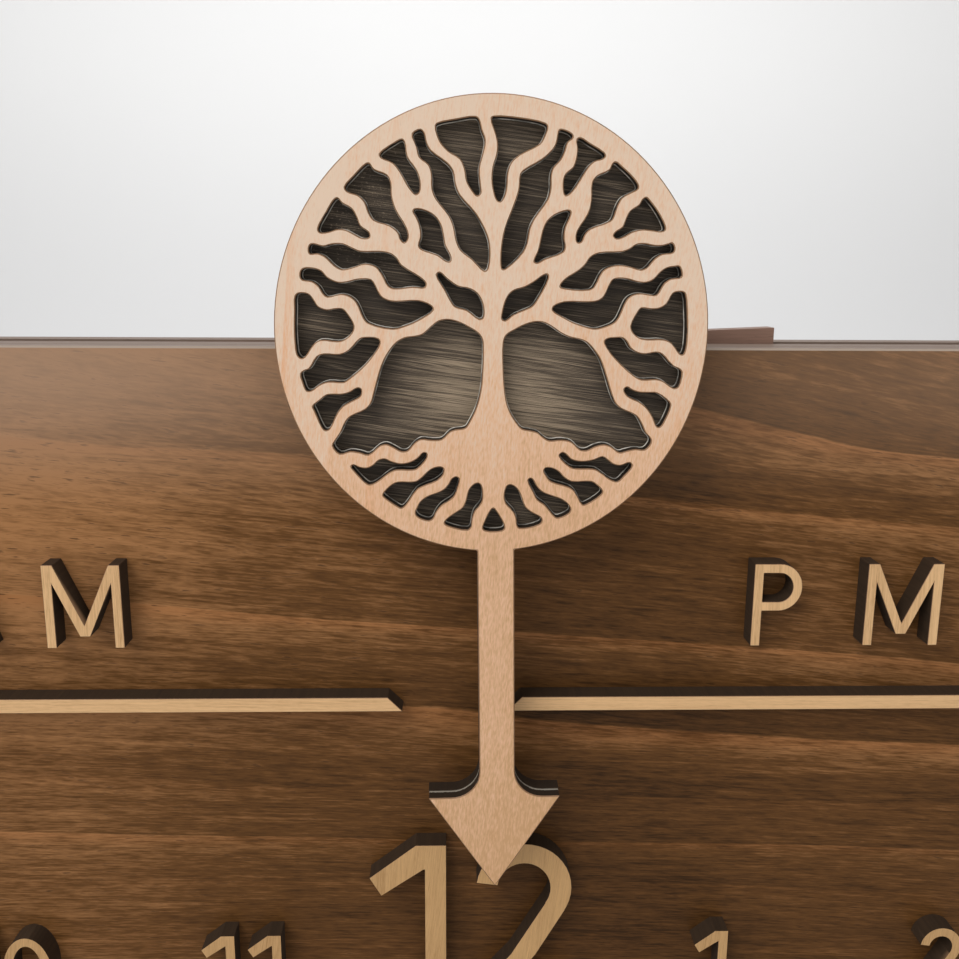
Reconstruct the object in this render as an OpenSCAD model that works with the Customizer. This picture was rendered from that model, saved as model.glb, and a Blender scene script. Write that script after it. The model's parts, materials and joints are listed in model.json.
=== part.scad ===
// Linear wall and shelf clock: a pointer with a tree-of-life disc slides along a twelve hour dial.
// +X runs along the dial, the dial faces -Y, +Z is up, and the origin is the centre of the bottom face.
// Depths, written d, are measured backwards from the front face of the dial board.

/* [Case] */
// Length of the case
case_l = 960; // [940:1:1100]
// Height of the case
case_h = 208; // [204:1:260]
// Depth of the case from the dial board's face to the back
case_d = 48; // [46:0.5:70]
// Thickness of the dial board
board_t = 6.35; // [4:0.05:8]
// Thickness of the back panel
back_t = 6; // [4:0.5:6]
// Thickness of the end caps
end_t = 9; // [6:0.5:9]
// Height of the two top rails
rail_h = 22; // [18:0.5:23]
// Height of the bottom rail
bottom_h = 12; // [8:0.5:12]
// Depth at which the carriage slot starts
slot_front = 15.5; // [13:0.1:15.8]
// Width of the carriage slot
slot_w = 7; // [6.6:0.1:8]
// Depth of the flat top, where the rear shoulder starts to slope
top_d = 30.6; // [27:0.1:36]
// Drop of the rear shoulder from the top to the back panel
shoulder_drop = 12; // [8:0.5:13]

/* [Dial] */
// Distance from one hour to the next
hour_pitch = 65.1; // [50:0.1:65.5]
// Thickness of the raised numerals, labels and dividers
relief_t = 6.35; // [3:0.05:8]
// Height of the baseline of all numerals above the case's bottom
numeral_base = 26; // [10:0.5:30]
// Height of the small numerals
numeral_h = 21.4; // [15:0.1:26]
// Stroke of the small numerals
numeral_stroke = 2.5; // [2:0.1:3]
// Height of the large noon numeral
noon_h = 48.5; // [30:0.1:54]
// Stroke of the large noon numeral
noon_stroke = 5.75; // [4:0.05:6.5]
// Offset of the noon numeral from the noon position, to the right
noon_shift = -1.5; // [-4:0.1:4]
// Height of the label letters
label_h = 22.1; // [15:0.1:26]
// Stroke of the label letters
label_stroke = 2.4; // [2:0.1:3]
// Height of the labels' baseline above the dividers' upper edge
label_base = 14.05; // [6:0.05:18]
// Distance between the middles of a label's two letters
label_pitch = 33; // [24:0.5:36]
// Distance from noon to the middle of the morning label's inner letter
am_inner = 100.7; // [60:0.1:200]
// Distance from noon to the middle of the afternoon label's inner letter
pm_inner = 76.8; // [60:0.1:200]
// Height of the dividers
divider_h = 3.85; // [3:0.05:6]
// Height of the dividers' lower edge above the case's bottom
divider_base = 113.6; // [105:0.1:118]
// Distance from noon to the left divider's inner point
divider_inner_left = 20; // [10:0.1:60]
// Distance from noon to the right divider's inner point
divider_inner_right = 7.4; // [5:0.1:60]
// Distance from noon to the dividers' outer points
divider_outer = 432; // [400:1:440]

/* [Pointer] */
// Width of the disc
disc_w = 100; // [80:0.5:104]
// Height of the disc's middle above the top of the case
disc_rise = 4.8; // [0:0.1:12]
// Position of the pointer along the dial from noon, to the right
pointer_x = 2.2; // [-30:0.1:30]
// Thickness of the pierced face layer
face_t = 4.1; // [2.5:0.05:6]
// Thickness of the dark backing layer
backing_t = 4.15; // [2.5:0.05:6]
// Gap between the pointer's back and the dial board's face
pointer_gap = 9.75; // [7:0.05:15]
// Width of the stem
stem_w = 8.9; // [6:0.1:14]
// Offset of the stem from the disc's middle, to the right
stem_shift = 0.55; // [-2:0.05:2]
// Width of the arrow head
head_w = 33.6; // [24:0.1:44]
// Offset of the arrow head from the disc's middle, to the right
head_shift = -0.2; // [-2:0.05:2]
// Distance from the disc's middle to the arrow head's shoulders
shoulder_drop_from_disc = 117.4; // [100:0.1:125]
// Length of the arrow head
head_l = 25.4; // [15:0.1:30]
// Radius of the fillets between the stem and the arrow head
shoulder_r = 7.2; // [3:0.1:9]
// Lean of the stem and the arrow head, in degrees
pointer_lean = 0.85; // [0:0.05:2]

/* [Carriage] */
// Half width of the slider plate
plate_half_w = 76.2; // [60:0.1:76.5]
// Thickness of the slider plate
plate_t = 6; // [5:0.1:6.2]
// Depth at which the slider plate starts
plate_front = 16; // [15.9:0.05:16.2]
// Rise of the plate's top edge over the case at its right end
plate_rise_right = 4.2; // [1:0.1:8]
// Rise of the plate's top edge over the case at its left end: below zero it stays in the slot
plate_rise_left = -2.5; // [-6:0.1:2]
// Depth below the top to which the wide part of the plate reaches
plate_skirt = 50; // [40:1:56]
// Width of the pointer arm
arm_w = 24; // [16:0.5:30]
// Height of the pointer arm
arm_h = 12; // [8:0.5:16]
// Gap between the arm and the top of the case
arm_gap = 1.5; // [0.5:0.1:3]
// Margin of the plate's upright tab beside and above the arm
tab_margin = 2; // [1:0.1:4]
// Width of the bearing block
block_w = 64; // [56:1:66]
// Depth of the bearing block
block_d = 19; // [18:0.1:19.5]
// Distance of the bearing block's top below the top of the case
block_top_drop = 24; // [23.5:0.1:25]
// Distance of the bearing block's bottom below the top of the case
block_bottom_drop = 81; // [79:0.5:82]

/* [Guide and drive] */
// Radius of the guide rods
rod_r = 4; // [3:0.05:4.1]
// Distance of the upper rod below the top of the case
rod_upper_drop = 34; // [33:0.1:36]
// Distance of the lower rod below the top of the case
rod_lower_drop = 70; // [66:0.1:71]
// Depth of the rods' axis
rod_depth = 31.5; // [31:0.1:32]
// Outer radius of the linear bearings
bearing_r = 7.5; // [6.5:0.1:7.6]
// Length of the linear bearings
bearing_l = 24; // [18:0.5:28]
// Length of the rod blocks along the rods
rod_block_l = 14; // [12:0.5:16]
// Depth to which the rods enter the rod blocks
rod_seat = 10; // [6:0.5:11]
// Distance of the belt's middle below the top of the case
belt_drop = 92; // [91:0.5:94]
// Width of the belt
belt_w = 6; // [5:0.1:6.4]
// Thickness of the belt
belt_t = 1.35; // [1:0.05:1.5]
// Radius of the belt's pitch line on the pulleys: forty millimetres round
pitch_r = 6.366; // [6:0.001:6.6]
// Radius of the pulleys' flanges
flange_r = 8; // [7.6:0.1:8.5]
// Thickness of the pulleys' flanges
flange_t = 1; // [0.8:0.1:1.2]
// Width between the pulleys' flanges
pulley_gap = 7; // [6.6:0.1:7.4]
// Height of the drive pulley's hub
hub_h = 6; // [5:0.1:7]
// Radius of the drive pulley's hub
hub_r = 6.5; // [5.5:0.1:7]
// Distance of the pulleys' axes from noon
pulley_x = 436; // [430:0.5:440]
// Depth of the pulleys' axes
pulley_depth = 25; // [24.5:0.1:25.5]
// Radius of the motor's body
motor_r = 14; // [12:0.1:14]
// Height of the motor's body
motor_h = 19; // [16:0.1:24]
// Radius of the motor's shaft
shaft_r = 2.5; // [2:0.05:2.6]
// Thickness of the two brackets
bracket_t = 2; // [1.5:0.1:2.2]
// Width of the two brackets
bracket_w = 48; // [46:0.5:50]

/* [Service hatch] */
// Width of the hatch
hatch_w = 170; // [160:1:200]
// Height of the hatch
hatch_h = 74; // [70:0.5:76]
// Height of the hatch's lower edge above the case's bottom
hatch_base = 16; // [14:0.5:20]
// Thickness of the hatch
hatch_t = 3; // [2.5:0.1:4]
// Radius of the power jack's thread
jack_r = 4; // [3.5:0.1:5]
// Radius of the power jack's socket
socket_r = 2.8; // [2.6:0.05:3]
// Radius of the buttons' threads
button_r = 3.5; // [3:0.1:4]
// Radius of the button caps
cap_r = 2.2; // [1.8:0.1:2.5]
// Distance that the button caps stand out
cap_out = 2; // [1.6:0.1:2.5]
// Travel of the buttons
button_travel = 1.5; // [1:0.1:1.5]

/* [Hanging] */
// Distance between the two keyholes
keyhole_spacing = 406.4; // [300:0.1:610]
// Height of the keyholes' entry above the case's bottom
keyhole_z = 158; // [130:0.5:165]
// Radius of the keyholes' entry
keyhole_r = 4.5; // [4:0.1:5.5]
// Width of the keyholes' slot
keyhole_slot = 4.5; // [4:0.1:6]
// Height of a wall bumper
bumper_t = 3; // [2:0.1:5]
// Radius of a wall bumper
bumper_r = 6; // [4:0.1:8]

/* [Hidden] */
$fn = 48;

// Overrun of every cut
over = 1;
// Clearance of running fits, in radius
run_gap = 0.05;
// Clearance between pieces that only stand side by side
side_gap = 0.3;

front_y = -case_d / 2;
inner_back = case_d - back_t;
inner_x = case_l / 2 - end_t;
slot_back = slot_front + slot_w;
plate_back = plate_front + plate_t;

// Colours
walnut = "#6b4a2f";
walnut_edge = "#7a6154";
maple = "#dcb48c";
charred = "#3b332c";
steel = "#b9bcc0";
brass = "#b8974f";
black = "#26262a";
board_green = "#1f5a3c";

// Fasteners
screw_r = 1.6;
screw_head_r = 3.2;
screw_head_h = 1.8;
back_screw_l = 16;
back_screw_inset = 4.5;
back_screw_rail_z = case_h - (rail_h + shoulder_drop) / 2;
back_screw_top_share = [-0.96, -0.52, 0, 0.52, 0.96];
back_screw_end_share = [0.3, 0.62];
m3_r = 1.5;
m3_head_r = 2.75;
m3_head_h = 2;
m3_nut_r = 3.1;
m3_nut_h = 2.4;

// Shares of a glyph's height: polygons, straight bars [x0, z0, x1, z1] given by the middle of a steep
// bar and the top edge of a flat one, and arcs [middle x, middle z, radius x, radius z, from, to]
glyph_names = "0123456789AMP";
glyph_width_shares = [0.62, 0.43, 0.56, 0.54, 0.58, 0.525, 0.585, 0.54, 0.58, 0.57, 0.855, 0.89, 0.57];
glyph_gap_share = 0.165;
glyph_thin_share = 0.8;
glyph_polygon_shares = [
  [],
  [[[0, 0.8], [0.26, 1], [0.36, 1], [0.36, 0.86], [0.3, 0.85], [0.065, 0.69]]],
  [[[0.507, 0.588], [0.405, 0.646], [0.204, 0.303], [0.02, 0.09], [0.02, 0], [0.56, 0],
    [0.56, 0.105], [0.195, 0.105], [0.345, 0.303]]],
  [],
  [[[0.365, 1], [0.42, 1], [0.42, 0.752], [0.115, 0.28], [0, 0.28], [0, 0.29]]],
  [[[0.06, 0.47], [0.17, 0.55], [0.17, 1], [0.06, 1]]],
  [],
  [[[0.54, 1], [0.54, 0.9], [0.21, 0], [0.085, 0], [0.41, 0.887]]],
  [], [], [], [], []
];
glyph_bar_shares = [
  [],
  [[0.37, 0, 0.37, 1]],
  [],
  [[0.14, 0.567, 0.27, 0.567]],
  [[0.421, 0, 0.421, 1], [0, 0.327, 0.58, 0.327]],
  [[0.06, 1, 0.5, 1]],
  [],
  [[0, 1, 0.54, 1]],
  [], [],
  [[0.059, 0, 0.389, 1], [0.796, 0, 0.466, 1], [0.15, 0.39, 0.7, 0.39]],
  [[0.055, 0, 0.055, 1], [0.835, 0, 0.835, 1], [0.07, 1, 0.445, 0.14], [0.82, 1, 0.445, 0.14]],
  [[0.055, 0, 0.055, 1]]
];
glyph_arc_shares = [
  [[0.31, 0.5, 0.31, 0.5, 0, 360]],
  [],
  [[0.273, 0.727, 0.269, 0.277, -35, 172]],
  [[0.25, 0.735, 0.25, 0.265, -90, 155], [0.25, 0.285, 0.29, 0.285, -155, 90]],
  [],
  [[0.24, 0.315, 0.285, 0.315, -150, 118]],
  [[0.3, 0.305, 0.285, 0.305, 0, 360], [0.54, 0.36, 0.525, 0.64, 95, 185]],
  [],
  [[0.29, 0.745, 0.235, 0.255, 0, 360], [0.29, 0.28, 0.29, 0.28, 0, 360]],
  [[0.285, 0.695, 0.285, 0.305, 0, 360], [0.045, 0.64, 0.525, 0.64, -85, 5]],
  [], [],
  [[0.3, 0.716, 0.27, 0.284, -90, 90, 0.055]]
];
glyph_arc_steps = 40;

// The disc's height over its width, as a share
disc_oval_share = 1.044;
disc_steps = 144;
fillet_steps = 10;
// Points between two hand-chosen points of a window's curve
curve_steps = 3;
// The share of the disc's width that one unit of the window tables stands for
window_unit_share = 0.01;
// The tree's windows, in hundredths of the disc's width from its middle: crown, left side
crown_left_shares = [
  [[-12.8, 45.2], [-12.3, 45.7], [-8.5, 46.5], [-4.1, 47.1], [-3.4, 46.6], [-2.8, 44.5], [-2, 42.2],
    [-2.5, 39.4], [-3.3, 36.2], [-3, 32.5], [-2.9, 31], [-3.6, 30.4], [-4.6, 31.4], [-5.9, 33.6],
    [-6.3, 36], [-7.4, 38.3], [-10, 39.9], [-11.9, 42]],
  [[-17.9, 43.4], [-16.2, 44.3], [-15.5, 43.6], [-15, 41.6], [-14, 39.9], [-10.4, 37.3],
    [-9.1, 35.6], [-8.6, 32.8], [-7.6, 30.5], [-3.9, 26.4], [-1.4, 21.8], [-0.8, 19],
    [-1.1, 14.6], [-1.8, 13.9], [-4.6, 16.5], [-7.2, 18.5], [-8.2, 20.6], [-8.8, 23.6],
    [-9.8, 26], [-12.7, 29.6], [-13.6, 31.8], [-13.7, 35], [-14.4, 37], [-16.4, 38.6], [-17, 40.8]],
  [[-25.2, 39.1], [-22, 41.4], [-20.3, 42.2], [-19.8, 41.6], [-19.3, 38.6], [-17.3, 35.8],
    [-16.5, 33.5], [-16.6, 31.2], [-17.3, 30.6], [-18.8, 32.1], [-20.6, 35.2], [-22.3, 37.3],
    [-24.9, 38.4]],
  [[-33.1, 32], [-31, 34.4], [-28.4, 36.9], [-27.7, 37.1], [-26.7, 35.8], [-23.8, 34.6],
    [-23, 32.8], [-22.9, 30.2], [-22, 27.2], [-19.7, 23.4], [-19.2, 21.2], [-20, 20.1],
    [-20.8, 20.8], [-21.3, 22.2], [-23.2, 23.8], [-26.8, 25], [-27.9, 26.6], [-28.7, 28.8],
    [-30.2, 30.3], [-32.6, 31.1]],
  [[-39.3, 22.9], [-37.4, 26.4], [-35.5, 29.3], [-34.8, 29.6], [-33.9, 28.6], [-31.8, 27.4],
    [-30.7, 25.6], [-29.9, 23.6], [-28, 22.2], [-27.9, 21.2], [-29.4, 21], [-31.3, 21.9],
    [-33.2, 22.8], [-35.1, 22.9], [-37, 22.3], [-38.9, 22.2]],
  [[-41.5, 18.1], [-41.2, 19.4], [-40.4, 19.6], [-38.3, 19.1], [-36.2, 19.6], [-33.9, 19.6],
    [-32, 18.8], [-30, 18], [-25.6, 18], [-23.3, 17.6], [-21.9, 16.6], [-20.8, 15],
    [-16.6, 12.4], [-15.3, 11.1], [-15.5, 10.2], [-18.2, 10.3], [-22.4, 9.9], [-23.7, 10.5],
    [-25, 12.9], [-26.4, 14.7], [-29, 15.4], [-31.6, 14.6], [-34.2, 14.1], [-35.9, 15],
    [-37.9, 16.9], [-39.6, 17.6], [-41.2, 17.5]],
  [[-43.5, 12.2], [-43.4, 13.6], [-42.7, 14.2], [-40.6, 14.2], [-38.9, 13.6], [-37.6, 12.2],
    [-35.2, 11.1], [-33.2, 11.2], [-30.8, 11.8], [-27.9, 11.8], [-27.2, 11.2], [-25.6, 8.2],
    [-24, 7.2], [-22, 6.9], [-17, 7.1], [-14.2, 6.1], [-13.6, 5.2], [-17.2, 2.7], [-20, 1.5],
    [-22.8, 0.8], [-28.4, 2.1], [-29.4, 3.2], [-31, 6.8], [-32.7, 8.2], [-34.7, 8.6],
    [-37.6, 8], [-38.6, 8.8], [-39.4, 10.2], [-41, 11.4], [-43, 11.7]],
  [[-44.8, 8.1], [-44, 8.7], [-42, 8.5], [-41, 7.4], [-39.9, 5.7], [-37.8, 4.9], [-35.8, 5.2],
    [-34.2, 5.1], [-33.2, 4], [-31.8, 1.4], [-32.3, -0.2], [-34.2, -1.8], [-35.6, -2.1],
    [-39.4, -1.8], [-41, -2.7], [-43.2, -5.7], [-44, -6], [-44.8, -5.2], [-45.1, -3],
    [-45.2, 0.5], [-45, 5]],
  [[-17.9, 27], [-17.3, 27.4], [-15.4, 27.1], [-13.3, 26], [-11.9, 24.1], [-11.3, 21.8],
    [-10.9, 19.6], [-9.6, 17], [-9.7, 16], [-10.6, 16.1], [-12.5, 17.4], [-16.2, 18.7],
    [-16.7, 19.4], [-16.2, 21.4], [-16.4, 23.6], [-17.1, 25.5]],
  [[-12.7, 13], [-12.1, 13.5], [-10.4, 12.1], [-7.9, 10.4], [-5.3, 9.9], [-3.6, 8.9],
    [-2.5, 7.2], [-2, 5], [-2.2, 3.4], [-3, 3.1], [-5.8, 5.1], [-8.5, 5.9], [-9.5, 7.2],
    [-10.9, 9.8]]
];
// Crown, right side
crown_right_shares = [
  [[-0.5, 46.9], [0.1, 47.2], [5.7, 46.9], [11.3, 45.8], [11.8, 45.2], [11.2, 43.2],
    [10.2, 41.6], [5.8, 39.3], [3.9, 37.6], [3.1, 35.4], [2.9, 32.4], [2.4, 30.3], [1.6, 29.2],
    [0.9, 29.5], [0.2, 31.3], [-0.2, 34], [0, 36.6], [0.8, 39.2], [1, 41.4], [0.6, 43.4]],
  [[14.6, 44.5], [15.4, 44.5], [17.2, 43.7], [17.5, 43], [16.3, 42], [15.7, 40], [14.8, 38.2],
    [13.3, 36.6], [12.8, 34.8], [12.8, 32.2], [12.2, 29.8], [9.2, 25.5], [8.2, 23.2],
    [7.7, 20.4], [6.8, 18.2], [3.1, 14.6], [2.3, 14.3], [2, 15.2], [2.1, 19.4], [2.8, 23.2],
    [5.2, 29.6], [5.9, 32.2], [6.1, 34.9], [6.7, 35.8], [10.8, 38.2], [12.8, 39.9],
    [13.9, 41.5], [14.3, 43.4]],
  [[18.6, 42.6], [19.3, 42.8], [21.2, 41.7], [24.4, 39.8], [24.8, 39.1], [24.1, 38.5],
    [22.6, 38.1], [21.2, 36.9], [18.4, 32.5], [17.2, 31.1], [16.3, 30.6], [15.9, 31.3],
    [15.8, 33.9], [16.3, 35.2], [17.9, 36.6], [18.6, 38.6], [18.8, 40.6]],
  [[26.6, 37.3], [27.2, 37.8], [28.6, 36.8], [30.8, 34.9], [32.3, 33.1], [32.4, 32.2],
    [30.8, 31.3], [28.9, 30.2], [27.8, 28.2], [27.1, 26], [26.4, 25.1], [22, 23.4],
    [20.7, 22.1], [20, 20.5], [19.2, 20.4], [18.9, 21.4], [19.2, 22.9], [21.5, 26.6],
    [22.2, 29.4], [22.3, 33.4], [23.3, 34.8], [26, 36.1]],
  [[33.7, 29.8], [34.4, 30.2], [35.2, 29.5], [37, 27.3], [38.8, 24.2], [38.9, 23.3], [38, 22.9],
    [36.4, 23.1], [33.8, 23.3], [31.6, 22.8], [29.4, 21.6], [28, 21.3], [27.4, 21.9],
    [27.9, 22.7], [29.4, 23.7], [30.1, 25.4], [31, 27.2], [33, 28.6]],
  [[40, 20.1], [40.7, 20.3], [41.3, 19.2], [41, 18.3], [38.5, 17.9], [36.9, 16.9], [35, 14.8],
    [33.8, 14.4], [31.6, 15], [29.2, 15.4], [26.9, 15.1], [25, 14], [23.2, 10.6], [22.2, 9.9],
    [16.6, 10.1], [15.5, 10.5], [16.6, 12.1], [19.7, 14.1], [21.2, 15.5], [22.2, 17],
    [24.2, 18], [29.4, 18.3], [31.3, 19], [32.6, 19.9], [34.5, 20.1], [36.6, 19.7], [38.5, 19.7]],
  [[41.6, 15.1], [42.6, 15.1], [43.2, 13.8], [43.1, 12.8], [40.8, 12.4], [39.3, 11.4],
    [37.6, 8.8], [36.2, 8.8], [33.8, 9.1], [31.9, 8.6], [30.7, 7.5], [29.1, 3.8], [28.1, 2.5],
    [26.2, 1.6], [23.8, 1], [21.8, 1.4], [19, 2.3], [16.4, 3.6], [13.9, 5.2], [14.1, 6],
    [16.6, 7], [21.9, 7], [24.2, 7.3], [25.6, 8.3], [27.3, 11.8], [28.1, 12.3], [30.6, 12.3],
    [33.2, 11.6], [35.3, 11.5], [36.9, 12.2], [38.5, 13.9], [39.9, 14.8]],
  [[41.4, 9], [42.2, 9.4], [43.8, 9.4], [44.3, 8.8], [44.9, 4], [45.1, 0], [44.9, -3.6],
    [44.4, -4.8], [43.7, -4.7], [41.8, -2.3], [39.8, -1.4], [35.9, -1.4], [34.1, -1],
    [32.7, 0.1], [32.1, 1.6], [33.6, 4.9], [34.3, 5.7], [36.5, 5.5], [38.5, 5.7], [40.1, 6.7]],
  [[16.6, 27.3], [17.4, 27.1], [17.3, 26.2], [16.2, 23.6], [16, 21.2], [16.3, 19.2],
    [15.8, 18.2], [11.9, 16.7], [10.2, 15.8], [9.5, 16], [9.7, 16.9], [10.4, 18.4],
    [10.9, 20.6], [11.4, 22.9], [12.3, 24.9], [13.9, 26.3]],
  [[11.8, 13.1], [12.5, 13.2], [12.6, 12.3], [10.4, 7.9], [9.1, 6.1], [7.2, 5.2], [4.9, 4.2],
    [3, 2.8], [2.3, 3.1], [2.4, 4.6], [3, 7], [3.8, 8.6], [5, 9.6], [7.3, 10.3], [9.5, 11.5]]
];
// The two wide windows beside the trunk
trunk_shares = [
  [[-16, -0.5], [-13.8, 1.4], [-12.3, 2.5], [-10.5, 2.9], [-8.2, 2.5], [-5.4, 1.2], [-3.2, -0.2],
    [-2.3, -1.6], [-2.1, -4], [-2.2, -9], [-2.6, -13.4], [-3.6, -17.4], [-5.2, -20.8],
    [-6.2, -22.2], [-8.5, -22.6], [-9.8, -23.1], [-11.7, -24.9], [-13.9, -25.1], [-16.6, -24.9],
    [-18.2, -25.9], [-19.7, -27.6], [-21.1, -27.8], [-23, -26.8], [-24.7, -26.1],
    [-26.3, -26.5], [-28.9, -28.6], [-30.9, -28.1], [-33.2, -27.8], [-35.6, -28.4],
    [-37.2, -26.5], [-36.6, -25.3], [-35.3, -23.4], [-34, -20.7], [-32.8, -19.5],
    [-29.4, -17.9], [-28.1, -16.5], [-27.3, -13.9], [-25.5, -7.8], [-23.9, -4.7], [-22, -2.4],
    [-20, -1.3], [-17.9, -1]],
  [[2.7, -2.2], [3.3, -0.6], [5.3, 0.7], [7.7, 1.9], [10, 2.5], [12, 2.3], [13.9, 1.3],
    [15.8, 0], [18, -1], [20.4, -1.5], [22, -2.2], [23.4, -3.6], [25, -5.8], [26.1, -8.4],
    [28.2, -14.6], [29.1, -16.4], [30.3, -17.5], [34.1, -19.3], [35.5, -21.4], [36.4, -23.3],
    [37.7, -24.8], [37.7, -25.8], [36.4, -27.3], [34.2, -27.2], [32.2, -27.6], [30.4, -28],
    [28.4, -26.6], [26.6, -26.1], [24.5, -26.6], [22.6, -27.5], [21, -27.3], [19, -25.5],
    [16.5, -25], [13.8, -25.2], [12.4, -24.5], [11, -23.3], [9.2, -22.8], [7.3, -22.4],
    [6.3, -21.4], [4.8, -19.2], [3.7, -16.6], [3.1, -13.3], [2.7, -8]]
];
// The lower windows at the rim, left and right
rim_shares = [
  [[-44.1, -9.6], [-43.3, -8.9], [-42.2, -8.5], [-40.3, -5.7], [-38.7, -5.1], [-35.1, -5.2],
    [-32.9, -4.2], [-30.4, -1.6], [-29.2, -1.3], [-26.2, -1.6], [-25.9, -2.6], [-28.1, -6],
    [-30.3, -8.4], [-33.5, -11], [-34.4, -11.5], [-37.9, -11.4], [-40.1, -12.2],
    [-41.9, -13.5], [-42.9, -13.5], [-43.7, -11.6]],
  [[-41.6, -17.2], [-40.1, -15.9], [-38.4, -14.6], [-37.2, -14.4], [-34.7, -14.4],
    [-32.8, -13.8], [-31.2, -12.9], [-30.4, -13.2], [-30.6, -14.7], [-32.8, -16],
    [-34.8, -17.2], [-36.2, -19], [-38, -22.5], [-38.9, -22.8], [-39.6, -22], [-41.2, -18.2]],
  [[26.1, -1.9], [26.8, -1.3], [28.4, -1.1], [30.1, -1.1], [31.1, -1.8], [32.1, -3.4],
    [33.8, -4.5], [35.8, -4.8], [38, -4.4], [39.5, -4.8], [42.1, -7.5], [43.8, -8.3],
    [44.3, -9], [43.6, -12.3], [42.8, -12.7], [41.6, -12.1], [40, -11], [38.3, -10.6],
    [35, -10.7], [33.2, -9.8], [28.7, -5.8], [27, -3.7]],
  [[31, -13], [31.7, -12.5], [32.7, -13.1], [34.5, -13.7], [36.8, -13.8], [38.7, -13.9],
    [41.7, -16], [42, -16.8], [40.8, -20.2], [39.8, -21.8], [39.1, -21.8], [38, -19.5],
    [36.6, -17.5], [34.8, -16], [32.8, -15.1], [31.7, -14.4]]
];
// The windows between the roots, left, middle and right
root_shares = [
  [[-33, -31.4], [-32.5, -31.1], [-31.1, -31.7], [-29.3, -31.9], [-27.8, -31.2], [-26.5, -30],
    [-25.1, -29.7], [-23.5, -30.4], [-21.2, -30.9], [-18.8, -30.4], [-17.2, -29.4],
    [-16, -28.2], [-15.3, -28.3], [-15.3, -29.3], [-17.6, -31.9], [-18.6, -32.2],
    [-22.4, -32.2], [-24, -32.8], [-27.2, -35.2], [-28.8, -35.8], [-29.7, -35.3], [-32.3, -32.5]],
  [[-25.6, -38.4], [-25, -37.4], [-23.4, -35.9], [-22, -35.3], [-18.6, -35.3], [-17.2, -34.9],
    [-14.2, -32.2], [-12.4, -31.6], [-11.3, -31.9], [-11.5, -33.4], [-13.2, -34.9],
    [-16.2, -36.1], [-17.7, -37], [-20.3, -40.7], [-21.3, -41.5], [-22.2, -41.1], [-24.9, -39.2]],
  [[-17.9, -42.8], [-17.4, -41.4], [-16.6, -40], [-15, -38.8], [-12.9, -38], [-11.1, -37.1],
    [-10, -35.9], [-9.2, -34.5], [-8.3, -34], [-7.6, -34.4], [-8.2, -37], [-9, -38.8],
    [-11.9, -40.9], [-13.2, -42.6], [-13.9, -44.1], [-14.8, -44.6], [-17.2, -43.8]],
  [[-11, -45.3], [-10.5, -44.4], [-8.4, -42.8], [-6.6, -41.5], [-5.8, -39.8], [-5.2, -37.4],
    [-4.2, -36], [-3.1, -35.5], [-2.4, -36], [-2, -38.4], [-2.3, -40.2], [-3.9, -42.3],
    [-4.5, -44.2], [-4.8, -46.2], [-5.5, -46.9], [-10.2, -45.9]],
  [[-1.8, -46.5], [-1.3, -44.9], [-0.2, -42.5], [0.6, -41.6], [1.5, -42.6], [3, -45.2],
    [3.3, -46.5], [2.7, -47.1], [-1.3, -47.1]],
  [[16.2, -28.8], [16.8, -28.1], [17.5, -28.3], [19, -29.7], [20.8, -30.2], [22.6, -30.2],
    [24.5, -29.8], [26.4, -29.1], [27.6, -29.8], [28.9, -30.8], [30.7, -31.2], [32.9, -30.5],
    [33.5, -31.2], [31.6, -33.7], [30.2, -35], [28.4, -34.5], [26.5, -33.1], [24.8, -32.1],
    [22.9, -31.9], [20.6, -31.9], [18.8, -31.5]],
  [[12.6, -32.4], [13, -31.8], [14.6, -31.9], [16.1, -32.7], [17.3, -34], [19.2, -35.1],
    [23.9, -35.1], [25.2, -35.9], [26.6, -37.4], [26.3, -38.2], [22.8, -40.6], [22, -40.7],
    [20.1, -37.5], [18.6, -36.4], [14.3, -35], [13.2, -33.7]],
  [[8.9, -34.8], [9.4, -34.3], [10, -34.7], [10.9, -36.3], [12.4, -37.7], [14.6, -38.6],
    [16.8, -39.4], [18.4, -40.6], [19.1, -41.8], [18.8, -42.7], [16.4, -43.9], [15.6, -43.8],
    [13, -40.8], [11.2, -39.5], [10.2, -37.6]],
  [[3.3, -38.8], [3.5, -37.1], [4, -36.1], [4.8, -35.9], [6, -36.6], [6.9, -37.9], [8.2, -41.3],
    [9.9, -42.7], [11.9, -43.8], [12.3, -44.6], [11.7, -45.5], [7, -46.5], [6.4, -45.8],
    [6.2, -44.1], [5.5, -42.4], [3.7, -40.4]]
];
window_shares = concat(crown_left_shares, crown_right_shares, trunk_shares, rim_shares, root_shares);

// Labels
label_z = divider_base + divider_h + label_base;

// Pointer
disc_z = case_h + disc_rise;
pointer_back = -pointer_gap;
pointer_seam = pointer_back - backing_t;
pointer_front = pointer_seam - face_t;

// Carriage
arm_base = case_h + arm_gap;
arm_screw_spread_share = 0.25;
arm_screw_seat_share = 0.65;
tab_half_w = arm_w / 2 + tab_margin;
tab_top = arm_base + arm_h + tab_margin;
plate_neck_half_w = block_w / 2;
block_top = case_h - block_top_drop;
block_bottom = case_h - block_bottom_drop;
rod_zs = [case_h - rod_upper_drop, case_h - rod_lower_drop];
rod_middle_z = (rod_zs[0] + rod_zs[1]) / 2;
bearing_end_gap = 3;
bearing_middles = [-1, 1] * (block_w / 2 - bearing_end_gap - bearing_l / 2);
plate_screw_l = 12;
plate_screw_x_share = 0.4;
plate_screw_spread = 6;
rod_relief_r = rod_r + over;
block_pocket_d = 6;
block_pocket_share = 0.6;

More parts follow.
